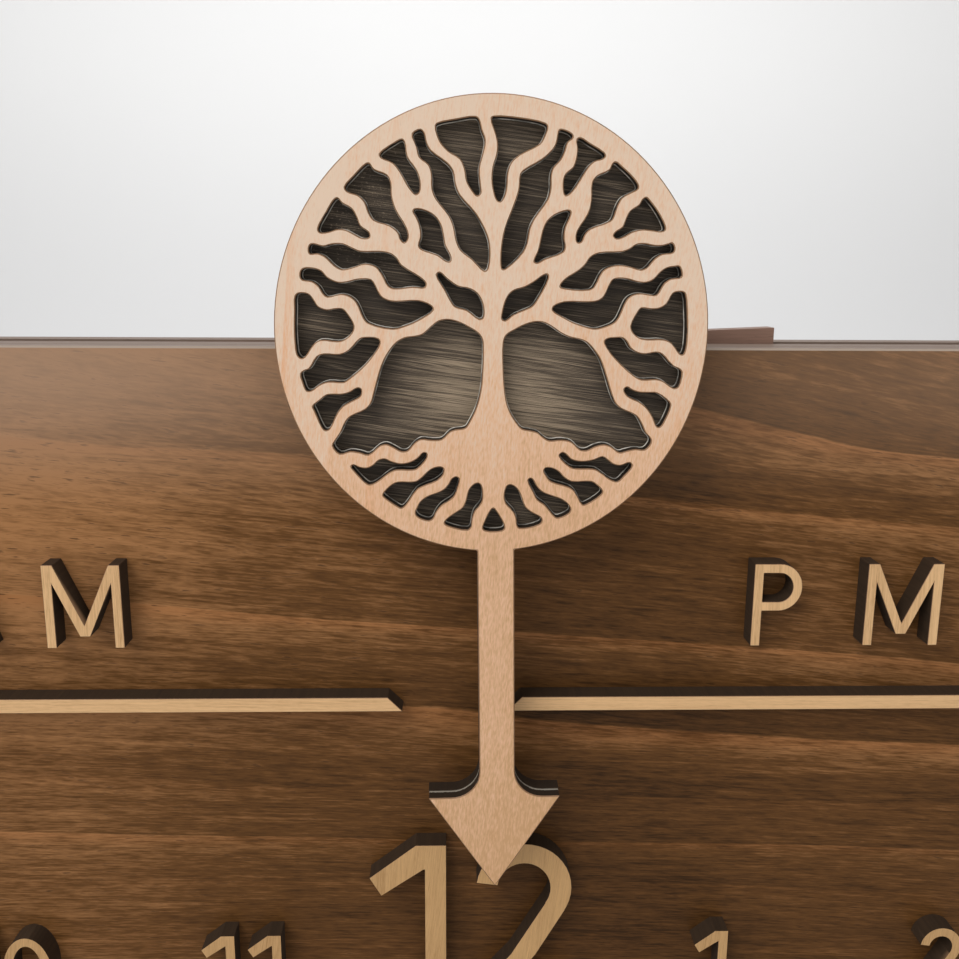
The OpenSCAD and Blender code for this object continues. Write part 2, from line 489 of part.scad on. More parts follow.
// Belt and pulleys
belt_z = case_h - belt_drop;
seat_r = pitch_r - belt_t / 2;
belt_in_r = seat_r + run_gap;
belt_out_r = belt_in_r + belt_t;
pulley_low = belt_z - pulley_gap / 2;
pulley_high = belt_z + pulley_gap / 2;
pulley_teeth = 20;
groove_r = 0.5;
groove_end_gap = 0.1;
hub_low = pulley_low - flange_t - hub_h;
hub_gap = 1;
bracket_high = hub_low - hub_gap;
bracket_low = bracket_high - bracket_t;
bracket_flange_h = 20;
boss_r = 4.5;
boss_h = 1.5;
boss_gap = 0.2;
ear_spread = 17.5;
ear_r = 3.5;
ear_t = 0.8;
exit_w = 14.6;
exit_d = 2.6;
shaft_top = pulley_high;
set_screw_r = 1;
idler_bearing_r = 4;
idler_bearing_h = 2.5;
idler_flange_out = 1.2;
idler_shoulder_r = 3.4;
idler_shoulder_gap = 0.1;
slot_travel = 8;
bracket_screw_l = 6;
bracket_screw_x_share = 0.33;
bracket_screw_drop = 8;
clamp_half_w = 12;
clamp_low = belt_z - belt_w / 2 - side_gap - 2 * over;
clamp_screw_drop = 3.5;
clamp_screw_z = block_bottom - clamp_screw_drop;
clamp_screw_spread_share = 0.6;
clamp_post_l = 6;
clamp_front = pulley_depth - run_gap;
clamp_back = inner_back - 2 * over;
clamp_post_depth = clamp_back - m3_head_r - over;
belt_run_front = pulley_depth + belt_in_r;
belt_run_back = pulley_depth + belt_out_r;

// Rod blocks and the home sensor
rod_block_front = plate_back + 2 * over;
rod_block_screw_inset = 10;
rod_block_screw_zs = [rod_zs[0] - rod_block_screw_inset, rod_zs[1] + rod_block_screw_inset];
rod_block_screw_l = 14;
sensor_board_t = 1.6;
sensor_w = 12;
sensor_h = 18;
sensor_eye_w = 5;
sensor_eye_out = 4;

// Service hatch
hatch_gap = 0.3;
cleat_w = 16;
cleat_t = 8;
cleat_margin = 8;
hatch_screw_l = 9;
hatch_screw_inset = 6;
hatch_back = inner_back + hatch_t;
board_t_pcb = 1.6;
standoff_h = 8;
standoff_r = 2.5;
board_hole_inset = 3.5;
board_screw_l = 5;
control_w = 70;
control_h = 50;
control_x = -40;
driver_w = 34;
driver_h = 32;
driver_x = 22;
hatch_middle = hatch_base + hatch_h / 2;
board_drop = 2;
board_z = hatch_middle - board_drop;
driver_rise = 6;
driver_z = hatch_base + driver_h / 2 + driver_rise;
board_back = inner_back - standoff_h;
board_front = board_back - board_t_pcb;
chip_w = 16;
chip_t = 2;
battery_r = 10;
battery_t = 4;
terminal_w = 30;
terminal_h = 8;
terminal_t = 7;
plug_w = 13;
plug_h = 6;
plug_t = 6;
jack_x = 58;
jack_drop = 14;
jack_z = hatch_middle - jack_drop;
jack_flange_r = 5.5;
jack_flange_t = 1.2;
jack_body_l = 14;
socket_depth = 9;
jack_nut_r = 6;
jack_nut_t = 2.5;
button_xs = [50, 66];
button_rise = 18;
button_z = hatch_middle + button_rise;
button_flange_r = 4.6;
button_flange_t = 1.2;
button_body_l = 10;
button_nut_r = 5;
button_nut_t = 2;
cap_l = 5;
cap_gap = 0.1;

// Hanging
hanger_w = 20;
hanger_h = 42;
hanger_t = 1.5;
hanger_pocket_w = 14;
hanger_pocket_h = 24;
keyhole_rise = 9;
hanger_screw_l = 4.5;
hanger_screw_inset = 4;
bumper_inset = 14;

// Motor cable and its clips
cable_r = 1.6;
cable_bend = 8;
cable_depth = 10.3;
cable_z = driver_z - driver_h / 2 + plug_h / 2 + over;
cable_down_x = pulley_x;
cable_up_z = bracket_low - motor_h;
clip_w = 7;
clip_wall = 1.2;
clip_shares = [0.25, 0.5, 0.75];

// Frames: a block between two depths, a sheet drawn in x and z, a bar along x and round pieces
module slab(x, d, z) {
  translate([x[0], front_y + d[0], z[0]]) cube([x[1] - x[0], d[1] - d[0], z[1] - z[0]]);
}
module sheet(d) {
  translate([0, front_y + d[1], 0]) rotate([90, 0, 0]) linear_extrude(d[1] - d[0]) children();
}
module along_x(x) {
  translate([x[0], front_y, 0]) rotate([90, 0, 90]) linear_extrude(x[1] - x[0]) children();
}
module round_y(x, z, d, r) {
  translate([x, front_y + d[0], z]) rotate([-90, 0, 0]) cylinder(h = d[1] - d[0], r = r);
}
module round_x(x, d, z, r) {
  translate([x[0], front_y + d, z]) rotate([0, 90, 0]) cylinder(h = x[1] - x[0], r = r);
}
module round_z(x, d, z, r) {
  translate([x, front_y + d, z[0]]) cylinder(h = z[1] - z[0], r = r);
}
module hex_y(x, z, d, r) {
  translate([x, front_y + d[0], z]) rotate([-90, 0, 0]) cylinder(h = d[1] - d[0], r = r, $fn = 6);
}
module hex_z(x, d, z, r) {
  translate([x, front_y + d, z[0]]) cylinder(h = z[1] - z[0], r = r, $fn = 6);
}

// A wood screw driven forwards from the back, its countersunk head flush at depth d
module back_screw(x, z, d, length) {
  difference() {
    union() {
      round_y(x, z, [d - length, d], screw_r);
      translate([x, front_y + d, z]) rotate([90, 0, 0])
        cylinder(h = screw_head_h, r1 = screw_head_r, r2 = screw_r);
    }
    for (turn = [0, 90]) translate([x, front_y + d, z]) rotate([0, turn, 0])
      cube([screw_head_r, screw_head_h, screw_head_r / 4], center = true);
  }
}
// The hole that such a screw fills
module back_screw_hole(x, z, d, length) {
  round_y(x, z, [d - length, d + over], screw_r);
  translate([x, front_y + d, z]) rotate([90, 0, 0])
    cylinder(h = screw_head_h, r1 = screw_head_r, r2 = screw_r);
}
// A machine screw along y; way is 1 where it points backwards and -1 where it points forwards
module machine_screw(x, z, d, length, way) {
  head = way > 0 ? [d - m3_head_h, d] : [d, d + m3_head_h];
  shank = way > 0 ? [d, d + length] : [d - length, d];
  recess = way > 0 ? [d - m3_head_h - over, d - m3_head_h / 2] : [d + m3_head_h / 2, d + m3_head_h + over];
  difference() {
    union() {
      round_y(x, z, head, m3_head_r);
      round_y(x, z, shank, m3_r);
    }
    hex_y(x, z, recess, m3_r * 0.8);
  }
}

// Curves
function wrap(list, i) = list[(i + len(list)) % len(list)];
function knot(a, b) = sqrt(norm(b - a));
function mix_points(a, b, ta, tb, t) = ((tb - t) * a + (t - ta) * b) / (tb - ta);
function curve_point(a, b, c, e, share) =
  let (t1 = knot(a, b))
  let (t2 = t1 + knot(b, c))
  let (t3 = t2 + knot(c, e))
  let (t = t1 + share * (t2 - t1))
  let (ab = mix_points(a, b, 0, t1, t))
  let (bc = mix_points(b, c, t1, t2, t))
  let (ce = mix_points(c, e, t2, t3, t))
  let (near = mix_points(ab, bc, 0, t2, t))
  let (far = mix_points(bc, ce, t1, t3, t))
  mix_points(near, far, t1, t2, t);
function closed_curve(list) = [
  for (i = [0 : len(list) - 1]) for (step = [0 : curve_steps - 1])
    curve_point(wrap(list, i - 1), list[i], wrap(list, i + 1), wrap(list, i + 2), step / curve_steps)
];
function ellipse(rx, rz, steps) = [for (i = [0 : steps - 1]) [rx * cos(360 * i / steps),
    rz * sin(360 * i / steps)]];
function arc_points(arc, inset, steps) = [
  for (i = [0 : steps]) let (a = arc[4] + (arc[5] - arc[4]) * i / steps)
    [arc[0] + (arc[2] - inset) * cos(a), arc[1] + (arc[3] - inset) * sin(a)]
];
function reversed(list) = [for (i = [len(list) - 1 : -1 : 0]) list[i]];

// Lettering, drawn one unit high with a stroke given as a share of the height
module glyph_bar(bar, stroke) {
  rise = abs(bar[3] - bar[1]);
  reach = norm([bar[2] - bar[0], rise]);
  steep = rise > abs(bar[2] - bar[0]);
  near = steep ? [stroke / 2 * reach / rise, 0] : [0, glyph_thin_share * stroke];
  far = steep ? near : [0, 0];
  from = [bar[0], bar[1]];
  to = [bar[2], bar[3]];
  polygon([from - near, from + far, to + far, to - near]);
}
module glyph_arc(arc, stroke) {
  if (arc[5] - arc[4] == 360) {
    difference() {
      translate([arc[0], arc[1]]) polygon(ellipse(arc[2], arc[3], glyph_arc_steps));
      translate([arc[0], arc[1]]) polygon(ellipse(arc[2] - stroke, arc[3] - stroke, glyph_arc_steps));
    }
  } else {
    steps = ceil(glyph_arc_steps * (arc[5] - arc[4]) / 360);
    // A seventh value runs the ends of a half round straight on to that place
    upper = len(arc) > 6 ? [[arc[6], arc[1] + arc[3]], [arc[6], arc[1] + arc[3] - stroke]] : [];
    lower = len(arc) > 6 ? [[arc[6], arc[1] - arc[3] + stroke], [arc[6], arc[1] - arc[3]]] : [];
    polygon(concat(arc_points(arc, 0, steps), upper, reversed(arc_points(arc, stroke, steps)), lower));
  }
}
module glyph(index, stroke) {
  for (outline = glyph_polygon_shares[index]) polygon(outline);
  for (bar = glyph_bar_shares[index]) glyph_bar(bar, stroke);
  for (arc = glyph_arc_shares[index]) glyph_arc(arc, stroke);
}
function glyph_index(letter) = search(letter, glyph_names)[0];
function glyph_width(letter) = glyph_width_shares[glyph_index(letter)];
function ink_width(word, i = 0) =
  i >= len(word) ? -glyph_gap_share : glyph_width(word[i]) + glyph_gap_share + ink_width(word, i + 1);
function glyph_start(word, i) = i == 0 ? 0 : glyph_start(word,
    i - 1) + glyph_width(word[i - 1]) + glyph_gap_share;
// A word centred on x, standing on base, raised from the dial board
module raised_word(word, x, base, height, stroke) {
  sheet([-relief_t, 0]) translate([x, base]) scale(height)
    for (i = [0 : len(word) - 1]) translate([glyph_start(word, i) - ink_width(word) / 2, 0])
      glyph(glyph_index(word[i]), stroke / height);
}
module small_numeral(word, hours) {
  raised_word(word, hours * hour_pitch, numeral_base, numeral_h, numeral_stroke);
}

// Case
module front_board() {
  color(walnut) slab([-case_l / 2, case_l / 2], [0, board_t], [0, case_h]);
}
module top_rail() {
  color(walnut_edge) slab([-inner_x, inner_x], [board_t, slot_front], [case_h - rail_h, case_h]);
}
module rear_top_rail() {
  color(walnut_edge) difference() {
    along_x([-inner_x, inner_x]) polygon([
      [slot_back, case_h], [top_d, case_h], [inner_back, case_h - shoulder_drop],
      [inner_back, case_h - rail_h], [slot_back, case_h - rail_h]
    ]);
    back_screw_holes();
  }
}
module bottom_rail() {
  color(walnut_edge) difference() {
    slab([-inner_x, inner_x], [board_t, inner_back], [0, bottom_h]);
    back_screw_holes();
  }
}
module end_cap(x) {
  difference() {
    along_x(x) polygon([
      [board_t, 0], [board_t, case_h], [top_d, case_h], [inner_back, case_h - shoulder_drop],
      [inner_back, 0]
    ]);
    back_screw_holes();
  }
}
module left_end_cap() {
  color(walnut_edge) end_cap([-case_l / 2, -inner_x]);
}
module right_end_cap() {
  color(walnut_edge) end_cap([inner_x, case_l / 2]);
}
back_screw_places = concat(
  [for (share = back_screw_top_share) [share * inner_x, back_screw_rail_z]],
  [for (share = back_screw_top_share) [share * inner_x, bottom_h / 2]],
  [for (side = [-1, 1]) for (share = back_screw_end_share) [side * (case_l / 2 - back_screw_inset),
      share * case_h]]
);
module back_screw_holes() {
  for (place = back_screw_places) back_screw_hole(place[0], place[1], case_d, back_screw_l);
}
module back_screws() {
  color(steel) for (place = back_screw_places) back_screw(place[0], place[1], case_d, back_screw_l);
}
module back_panel() {
  hatch_half = hatch_w / 2 + hatch_gap;
  color(walnut) difference() {
    slab([-case_l / 2, case_l / 2], [inner_back, case_d], [0, case_h - shoulder_drop]);
    slab([-hatch_half, hatch_half], [inner_back - over, case_d + over],
      [hatch_base - hatch_gap, hatch_base + hatch_h + hatch_gap]);
    back_screw_holes();
    hanger_seats();
    bracket_screw_holes();
    rod_block_screw_holes();
  }
}

// Hanging plates and bumpers
module keyhole(x) {
  round_y(x, keyhole_z, [case_d - hanger_t - over, case_d + over], keyhole_r);
  slab([x - keyhole_slot / 2, x + keyhole_slot / 2], [case_d - hanger_t - over, case_d + over],
    [keyhole_z, keyhole_z + keyhole_rise]);
  round_y(x, keyhole_z + keyhole_rise, [case_d - hanger_t - over, case_d + over], keyhole_slot / 2);
}
hanger_xs = [-1, 1] * keyhole_spacing / 2;
hanger_low = keyhole_z + keyhole_rise / 2 - hanger_h / 2;
hanger_high = hanger_low + hanger_h;
hanger_screw_zs = [hanger_low + hanger_screw_inset, hanger_high - hanger_screw_inset];
module hanger_seats() {
  middle = keyhole_z + keyhole_rise / 2;
  for (x = hanger_xs) {
    slab([x - hanger_w / 2, x + hanger_w / 2], [case_d - hanger_t, case_d + over], [hanger_low,
        hanger_high]);
    slab([x - hanger_pocket_w / 2, x + hanger_pocket_w / 2], [inner_back - over, case_d],
      [middle - hanger_pocket_h / 2, middle + hanger_pocket_h / 2]);
    for (z = hanger_screw_zs) round_y(x, z, [case_d - hanger_screw_l, case_d], m3_r);
  }
}
module hanger_plates() {
  color(steel) difference() {
    for (x = hanger_xs) slab([x - hanger_w / 2, x + hanger_w / 2], [case_d - hanger_t, case_d],
        [hanger_low, hanger_high]);
    for (x = hanger_xs) keyhole(x);
    for (x = hanger_xs) for (z = hanger_screw_zs) round_y(x, z, [case_d - hanger_screw_l,
        case_d + over], m3_r);
  }
}
module hanger_screws() {
  color(steel) for (x = hanger_xs) for (z = hanger_screw_zs) machine_screw(x, z, case_d,
      hanger_screw_l, -1);
}
module wall_bumpers() {
  high = case_h - shoulder_drop - bumper_inset;
  color(black) for (x = [-1, 1] * (case_l / 2 - bumper_inset - end_t)) for (z = [bumper_inset
      + bottom_h, high])
    round_y(x, z, [case_d, case_d + bumper_t], bumper_r);
}

// Dial
module numeral_noon() {
  color(maple) raised_word("12", noon_shift, numeral_base, noon_h, noon_stroke);
}
module numerals_morning() {
  color(maple) for (hour = [6 : 11]) small_numeral(str(hour), hour - 12);
}
module numerals_afternoon() {
  color(maple) for (hour = [1 : 6]) small_numeral(str(hour), hour);
}
module label_am() {
  color(maple) {
    raised_word("A", -am_inner - label_pitch, label_z, label_h, label_stroke);
    raised_word("M", -am_inner, label_z, label_h, label_stroke);
  }
}
module label_pm() {
  color(maple) {
    raised_word("P", pm_inner, label_z, label_h, label_stroke);
    raised_word("M", pm_inner + label_pitch, label_z, label_h, label_stroke);
  }
}
// A divider strip with mitred ends, from its inner to its outer point
module divider(inner, outer, side) {
  color(maple) sheet([-relief_t, 0]) polygon([
    [side * inner, divider_base], [side * outer, divider_base],
    [side * (outer - divider_h), divider_base + divider_h],
    [side * (inner + divider_h), divider_base + divider_h]
  ]);
}
module divider_left() {
  divider(divider_inner_left, divider_outer, -1);
}
module divider_right() {
  divider(divider_inner_right, divider_outer, 1);
}

// Pointer
module stem_and_head() {
  low = -shoulder_drop_from_disc;
  left = stem_shift - stem_w / 2;
  right = stem_shift + stem_w / 2;
  rotate(pointer_lean) polygon(concat(
    [[left, 0]],
    arc_points([left - shoulder_r, low + shoulder_r, shoulder_r, shoulder_r, 0, -90], 0, fillet_steps),
    [[head_shift - head_w / 2, low], [head_shift, low - head_l], [head_shift + head_w / 2, low]],
    arc_points([right + shoulder_r, low + shoulder_r, shoulder_r, shoulder_r, 270, 180], 0, fillet_steps),
    [[right, 0]]
  ));
}
module pointer_outline() {
  polygon(ellipse(disc_w / 2, disc_w / 2 * disc_oval_share, disc_steps));
  stem_and_head();
}
module pointer_sheet(d) {
  sheet(d) translate([pointer_x, disc_z]) children();
}
module pointer_face() {
  color(maple) pointer_sheet([pointer_front, pointer_seam]) difference() {
    pointer_outline();
    for (shares = window_shares) polygon(closed_curve(shares) * disc_w * window_unit_share);
  }
}
module pointer_backing() {
  color(charred) difference() {
    pointer_sheet([pointer_seam, pointer_back]) pointer_outline();
    arm_screw_holes();
  }
}

// Arm, slider plate and bearing block
arm_screw_xs = [for (side = [-1, 1]) pointer_x + side * arm_screw_spread_share * arm_w];
arm_screw_z = arm_base + arm_h / 2;
arm_screw_tip = pointer_back - arm_screw_seat_share * backing_t;
module arm_screw_holes() {
  for (x = arm_screw_xs) round_y(x, arm_screw_z, [arm_screw_tip, plate_back + over], m3_r);
}
module arm_screws() {
  color(steel) for (x = arm_screw_xs) machine_screw(x, arm_screw_z, plate_back,
      plate_back - arm_screw_tip, -1);
}
module pointer_arm() {
  color(walnut) difference() {
    slab([pointer_x - arm_w / 2, pointer_x + arm_w / 2], [pointer_back, plate_front], [arm_base,
        arm_base + arm_h]);
    arm_screw_holes();
  }
}
// Height of the plate's slanting top edge over the case at a distance from the pointer
function plate_rise(x) = plate_rise_left + (plate_rise_right - plate_rise_left) * (x / plate_half_w
    + 1) / 2;
plate_screw_places = [
  for (side = [-1, 1]) for (level = [-1, 1])
    [pointer_x + side * plate_screw_x_share * block_w, rod_middle_z + level * plate_screw_spread]
];
module plate_screw_holes() {
  for (place = plate_screw_places) round_y(place[0], place[1], [plate_front - over,
      plate_front + plate_screw_l], m3_r);
}
module plate_screws() {
  color(steel) for (place = plate_screw_places) machine_screw(place[0], place[1], plate_front,
      plate_screw_l, 1);
}
module slider_plate() {
  color(walnut) difference() {
    sheet([plate_front, plate_back]) translate([pointer_x, 0]) polygon([
      [-plate_neck_half_w, block_bottom], [plate_neck_half_w, block_bottom],
      [plate_neck_half_w, case_h - plate_skirt], [plate_half_w, case_h - plate_skirt],
      [plate_half_w, case_h + plate_rise_right], [tab_half_w, case_h + plate_rise(tab_half_w)],
      [tab_half_w, tab_top], [-tab_half_w, tab_top],
      [-tab_half_w, case_h + plate_rise(-tab_half_w)], [-plate_half_w, case_h + plate_rise_left],
      [-plate_half_w, case_h - plate_skirt], [-plate_neck_half_w, case_h - plate_skirt]
    ]);
    arm_screw_holes();
    plate_screw_holes();
  }
}
block_back = plate_back + block_d;
module bearing_block() {
  left = pointer_x - block_w / 2;
  right = pointer_x + block_w / 2;
  pocket_half = block_pocket_share * (bearing_middles[1] - bearing_l / 2);
  color(black) difference() {
    slab([left, right], [plate_back, block_back], [block_bottom, block_top]);
    for (z = rod_zs) {
      round_x([left - over, right + over], rod_depth, z, rod_relief_r);
      for (middle = bearing_middles) bearing_seat(pointer_x + middle, z);
    }
    slab([pointer_x - pocket_half, pointer_x + pocket_half], [block_back - block_pocket_d,
        block_back + over],
      [rod_zs[1] + bearing_r + over, rod_zs[0] - bearing_r - over]);
    plate_screw_holes();
    clamp_post_hole();
  }
}
module bearing_seat(x, z) {
  outer = abs(x - pointer_x) + bearing_l / 2 + bearing_end_gap + over;
  if (x < pointer_x) round_x([pointer_x - outer, x + bearing_l / 2], rod_depth, z, bearing_r);
  else round_x([x - bearing_l / 2, pointer_x + outer], rod_depth, z, bearing_r);
}
module linear_bearings() {
  color(steel) for (z = rod_zs) for (middle = bearing_middles) difference() {
    round_x([pointer_x + middle - bearing_l / 2, pointer_x + middle + bearing_l / 2], rod_depth, z,
        bearing_r);
    round_x([pointer_x + middle - bearing_l, pointer_x + middle + bearing_l], rod_depth, z,
        rod_r + run_gap);
  }
}

// Belt clamp: two jaws that hold the rear run under the bearing block
clamp_screw_xs = [for (side = [-1, 1]) pointer_x + side * clamp_screw_spread_share * clamp_half_w];
module clamp_screw_holes() {
  for (x = clamp_screw_xs) round_y(x, clamp_screw_z, [clamp_front - over, clamp_back + over], m3_r);
}
module clamp_post_hole() {
  round_z(pointer_x, clamp_post_depth, [clamp_low - over, block_bottom + clamp_post_l], m3_r);
}
module belt_clamp() {
  x = [pointer_x - clamp_half_w, pointer_x + clamp_half_w];
  color(black) difference() {
    union() {
      slab(x, [clamp_front, belt_run_front - run_gap], [clamp_low, block_bottom]);
      slab(x, [belt_run_back + run_gap, clamp_back], [clamp_low, block_bottom]);
    }
    clamp_screw_holes();
    clamp_post_hole();
  }
}
module belt_clamp_screws() {
  color(steel) {
    for (x = clamp_screw_xs) machine_screw(x, clamp_screw_z, clamp_front, clamp_back - clamp_front, 1);
    round_z(pointer_x, clamp_post_depth, [clamp_low, block_bottom + clamp_post_l], m3_r);
    round_z(pointer_x, clamp_post_depth, [clamp_low - m3_head_h, clamp_low], m3_head_r);
  }
}

// Guide rods and their end blocks
rod_end = inner_x - rod_block_l + rod_seat;
module rod_upper() {
  color(steel) round_x([-rod_end, rod_end], rod_depth, rod_zs[0], rod_r);
}
module rod_lower() {
  color(steel) round_x([-rod_end, rod_end], rod_depth, rod_zs[1], rod_r);
}
module rod_block(x) {
  color(black) difference() {
    slab(x, [rod_block_front, inner_back], [block_bottom, block_top]);
    for (z = rod_zs) round_x([-rod_end, rod_end], rod_depth, z, rod_r);
    rod_block_screw_holes();
  }
}
module left_rod_block() {
  rod_block([-inner_x, -inner_x + rod_block_l]);
}
module right_rod_block() {
  rod_block([inner_x - rod_block_l, inner_x]);
}
rod_block_screw_places = [for (side = [-1,
    1]) for (z = rod_block_screw_zs) [side * (inner_x - rod_block_l / 2), z]];
module rod_block_screw_holes() {
  for (place = rod_block_screw_places) back_screw_hole(place[0], place[1], case_d, rod_block_screw_l);
}
module rod_block_screws() {
  color(steel) for (place = rod_block_screw_places) back_screw(place[0], place[1], case_d,
      rod_block_screw_l);
}
module home_sensor() {
  face = -inner_x + rod_block_l;
  color(board_green) slab([face, face + sensor_board_t], [rod_depth - sensor_w / 2,
      rod_depth + sensor_w / 2],
    [rod_middle_z - sensor_h / 2, rod_middle_z + sensor_h / 2]);
  color(black) slab([face + sensor_board_t, face + sensor_board_t + sensor_eye_out],
    [rod_depth - sensor_eye_w / 2, rod_depth + sensor_eye_w / 2],
    [rod_middle_z - sensor_eye_w / 2, rod_middle_z + sensor_eye_w / 2]);
}

// Motor, brackets, pulleys and belt
module bracket(x) {
  slab([x - bracket_w / 2, x + bracket_w / 2], [pulley_depth - motor_r, inner_back], [bracket_low,
      bracket_high]);
  slab([x - bracket_w / 2, x + bracket_w / 2], [inner_back - bracket_t, inner_back],
    [bracket_low, bracket_high + bracket_flange_h]);
}
bracket_screw_z = bracket_high + bracket_flange_h - bracket_screw_drop;
bracket_screw_places = [
  for (side = [-1, 1]) for (end = [-1, 1]) [side * pulley_x
      + end * bracket_screw_x_share * bracket_w, bracket_screw_z]
];
module bracket_screw_holes() {
  for (place = bracket_screw_places)
    round_y(place[0], place[1], [inner_back - bracket_t - over,
        inner_back - bracket_t + bracket_screw_l], m3_r);
}
module bracket_screws() {
  color(steel) for (place = bracket_screw_places)
    machine_screw(place[0], place[1], inner_back - bracket_t, bracket_screw_l, 1);
}
motor_ear_xs = [pulley_x - ear_spread, pulley_x + ear_spread];
module motor_bracket() {
  color(steel) difference() {
    bracket(pulley_x);
    round_z(pulley_x, pulley_depth, [bracket_low - over, bracket_high + over], boss_r + boss_gap);
    for (x = motor_ear_xs) round_z(x, pulley_depth, [bracket_low - over, bracket_high + over], m3_r);
    bracket_screw_holes();
  }
}
module motor_body() {
  low = bracket_low - motor_h;
  color(steel) difference() {
    union() {
      round_z(pulley_x, pulley_depth, [low, bracket_low], motor_r);
      for (x = motor_ear_xs) round_z(x, pulley_depth, [bracket_low - ear_t, bracket_low], ear_r);
      slab([motor_ear_xs[0], motor_ear_xs[1]], [pulley_depth - ear_r, pulley_depth + ear_r],
        [bracket_low - ear_t, bracket_low]);
      round_z(pulley_x, pulley_depth, [bracket_low, bracket_low + boss_h], boss_r);
      slab([pulley_x - exit_w / 2, pulley_x + exit_w / 2], [pulley_depth - motor_r - exit_d, pulley_depth],
        [low, bracket_low - ear_t]);
    }
    round_z(pulley_x, pulley_depth, [bracket_low - motor_h / 2, bracket_low + boss_h + over],
        shaft_r + run_gap);
    for (x = motor_ear_xs) round_z(x, pulley_depth, [bracket_low - ear_t - over, bracket_low + over],
        m3_r);
  }
}
module motor_screws() {
  color(steel) for (x = motor_ear_xs) {
    round_z(x, pulley_depth, [bracket_low - ear_t - m3_nut_h - over, bracket_high], m3_r);
    round_z(x, pulley_depth, [bracket_high, bracket_high + m3_head_h], m3_head_r);
    difference() {
      hex_z(x, pulley_depth, [bracket_low - ear_t - m3_nut_h, bracket_low - ear_t], m3_nut_r);
      round_z(x, pulley_depth, [bracket_low - ear_t - m3_nut_h - over, bracket_low], m3_r);
    }
  }
}
module motor_shaft() {
  color(steel) round_z(pulley_x, pulley_depth, [bracket_low - motor_h / 2 + side_gap, shaft_top], shaft_r);
}
module pulley_form(x) {
  round_z(x, pulley_depth, [pulley_low, pulley_high], seat_r);
  round_z(x, pulley_depth, [pulley_low - flange_t, pulley_low], flange_r);
  round_z(x, pulley_depth, [pulley_high, pulley_high + flange_t], flange_r);
}
set_screw_z = hub_low + hub_h / 2;
module drive_pulley() {
  color(steel) difference() {
    union() {
      pulley_form(pulley_x);
      round_z(pulley_x, pulley_depth, [hub_low, pulley_low], hub_r);
    }
    round_z(pulley_x, pulley_depth, [hub_low - over, pulley_high + flange_t + over], shaft_r);
    for (i = [0 : pulley_teeth - 1]) translate([pulley_x, front_y + pulley_depth,
        pulley_low + groove_end_gap])
      rotate([0, 0, 360 * i / pulley_teeth]) translate([seat_r, 0, 0])
        cylinder(h = pulley_gap - 2 * groove_end_gap, r = groove_r);
    round_y(pulley_x, set_screw_z, [pulley_depth - hub_r - over, pulley_depth], set_screw_r);
  }
}
module pulley_set_screw() {
  color(black) difference() {
    round_y(pulley_x, set_screw_z, [pulley_depth - hub_r, pulley_depth - shaft_r - run_gap], set_screw_r);
    hex_y(pulley_x, set_screw_z, [pulley_depth - hub_r - over, pulley_depth - hub_r + over],
        set_screw_r / 2);
  }
}
module drive_belt() {
  color(black) difference() {
    belt_solid(belt_out_r, belt_w);
    belt_solid(belt_in_r, belt_w + 2 * over);
  }
}
// A long round-ended loop round both pulley axes
module belt_solid(r, height) {
  z = [belt_z - height / 2, belt_z + height / 2];
  slab([-pulley_x, pulley_x], [pulley_depth - r, pulley_depth + r], z);
  for (side = [-1, 1]) round_z(side * pulley_x, pulley_depth, z, r);
}
module idler_bracket() {
  color(steel) difference() {
    bracket(-pulley_x);
    round_z(-pulley_x, pulley_depth, [bracket_low - over, bracket_high + over], shaft_r);
    for (end = [-1, 1]) idler_slot(-pulley_x + end * bracket_screw_x_share * bracket_w);
  }
}
module idler_slot(x) {
  d = [inner_back - bracket_t - over, inner_back + over];
  slab([x - slot_travel / 2, x + slot_travel / 2], d, [bracket_screw_z - m3_r, bracket_screw_z + m3_r]);
  for (end = [-1, 1]) round_y(x + end * slot_travel / 2, bracket_screw_z, d, m3_r);
}
idler_top = pulley_high + flange_t + idler_shoulder_gap;
module idler_axle() {
  color(steel) {
    round_z(-pulley_x, pulley_depth, [bracket_low, idler_top + m3_nut_h + over], shaft_r);
    round_z(-pulley_x, pulley_depth, [bracket_low - m3_head_h, bracket_low], idler_bearing_r);
    difference() {
      union() {
        round_z(-pulley_x, pulley_depth, [bracket_high, pulley_low - flange_t - idler_shoulder_gap],
            idler_shoulder_r);
        hex_z(-pulley_x, pulley_depth, [idler_top, idler_top + m3_nut_h], idler_bearing_r);
      }
      round_z(-pulley_x, pulley_depth, [bracket_low, idler_top + m3_nut_h + 2 * over], shaft_r);
    }
  }
}
idler_bearing_zs = [pulley_low - flange_t, pulley_high + flange_t - idler_bearing_h];
module idler_bearings() {
  color(steel) for (z = idler_bearing_zs) difference() {
    round_z(-pulley_x, pulley_depth, [z, z + idler_bearing_h], idler_bearing_r);
    round_z(-pulley_x, pulley_depth, [z - over, z + idler_bearing_h + over], shaft_r + run_gap);
  }
}
module idler_pulley() {
  color(steel) difference() {
    pulley_form(-pulley_x);
    for (z = idler_bearing_zs) round_z(-pulley_x, pulley_depth, [z - over,
        z + idler_bearing_h + over], idler_bearing_r);
    round_z(-pulley_x, pulley_depth, [pulley_low - over, pulley_high + over], idler_shoulder_r);
  }
}

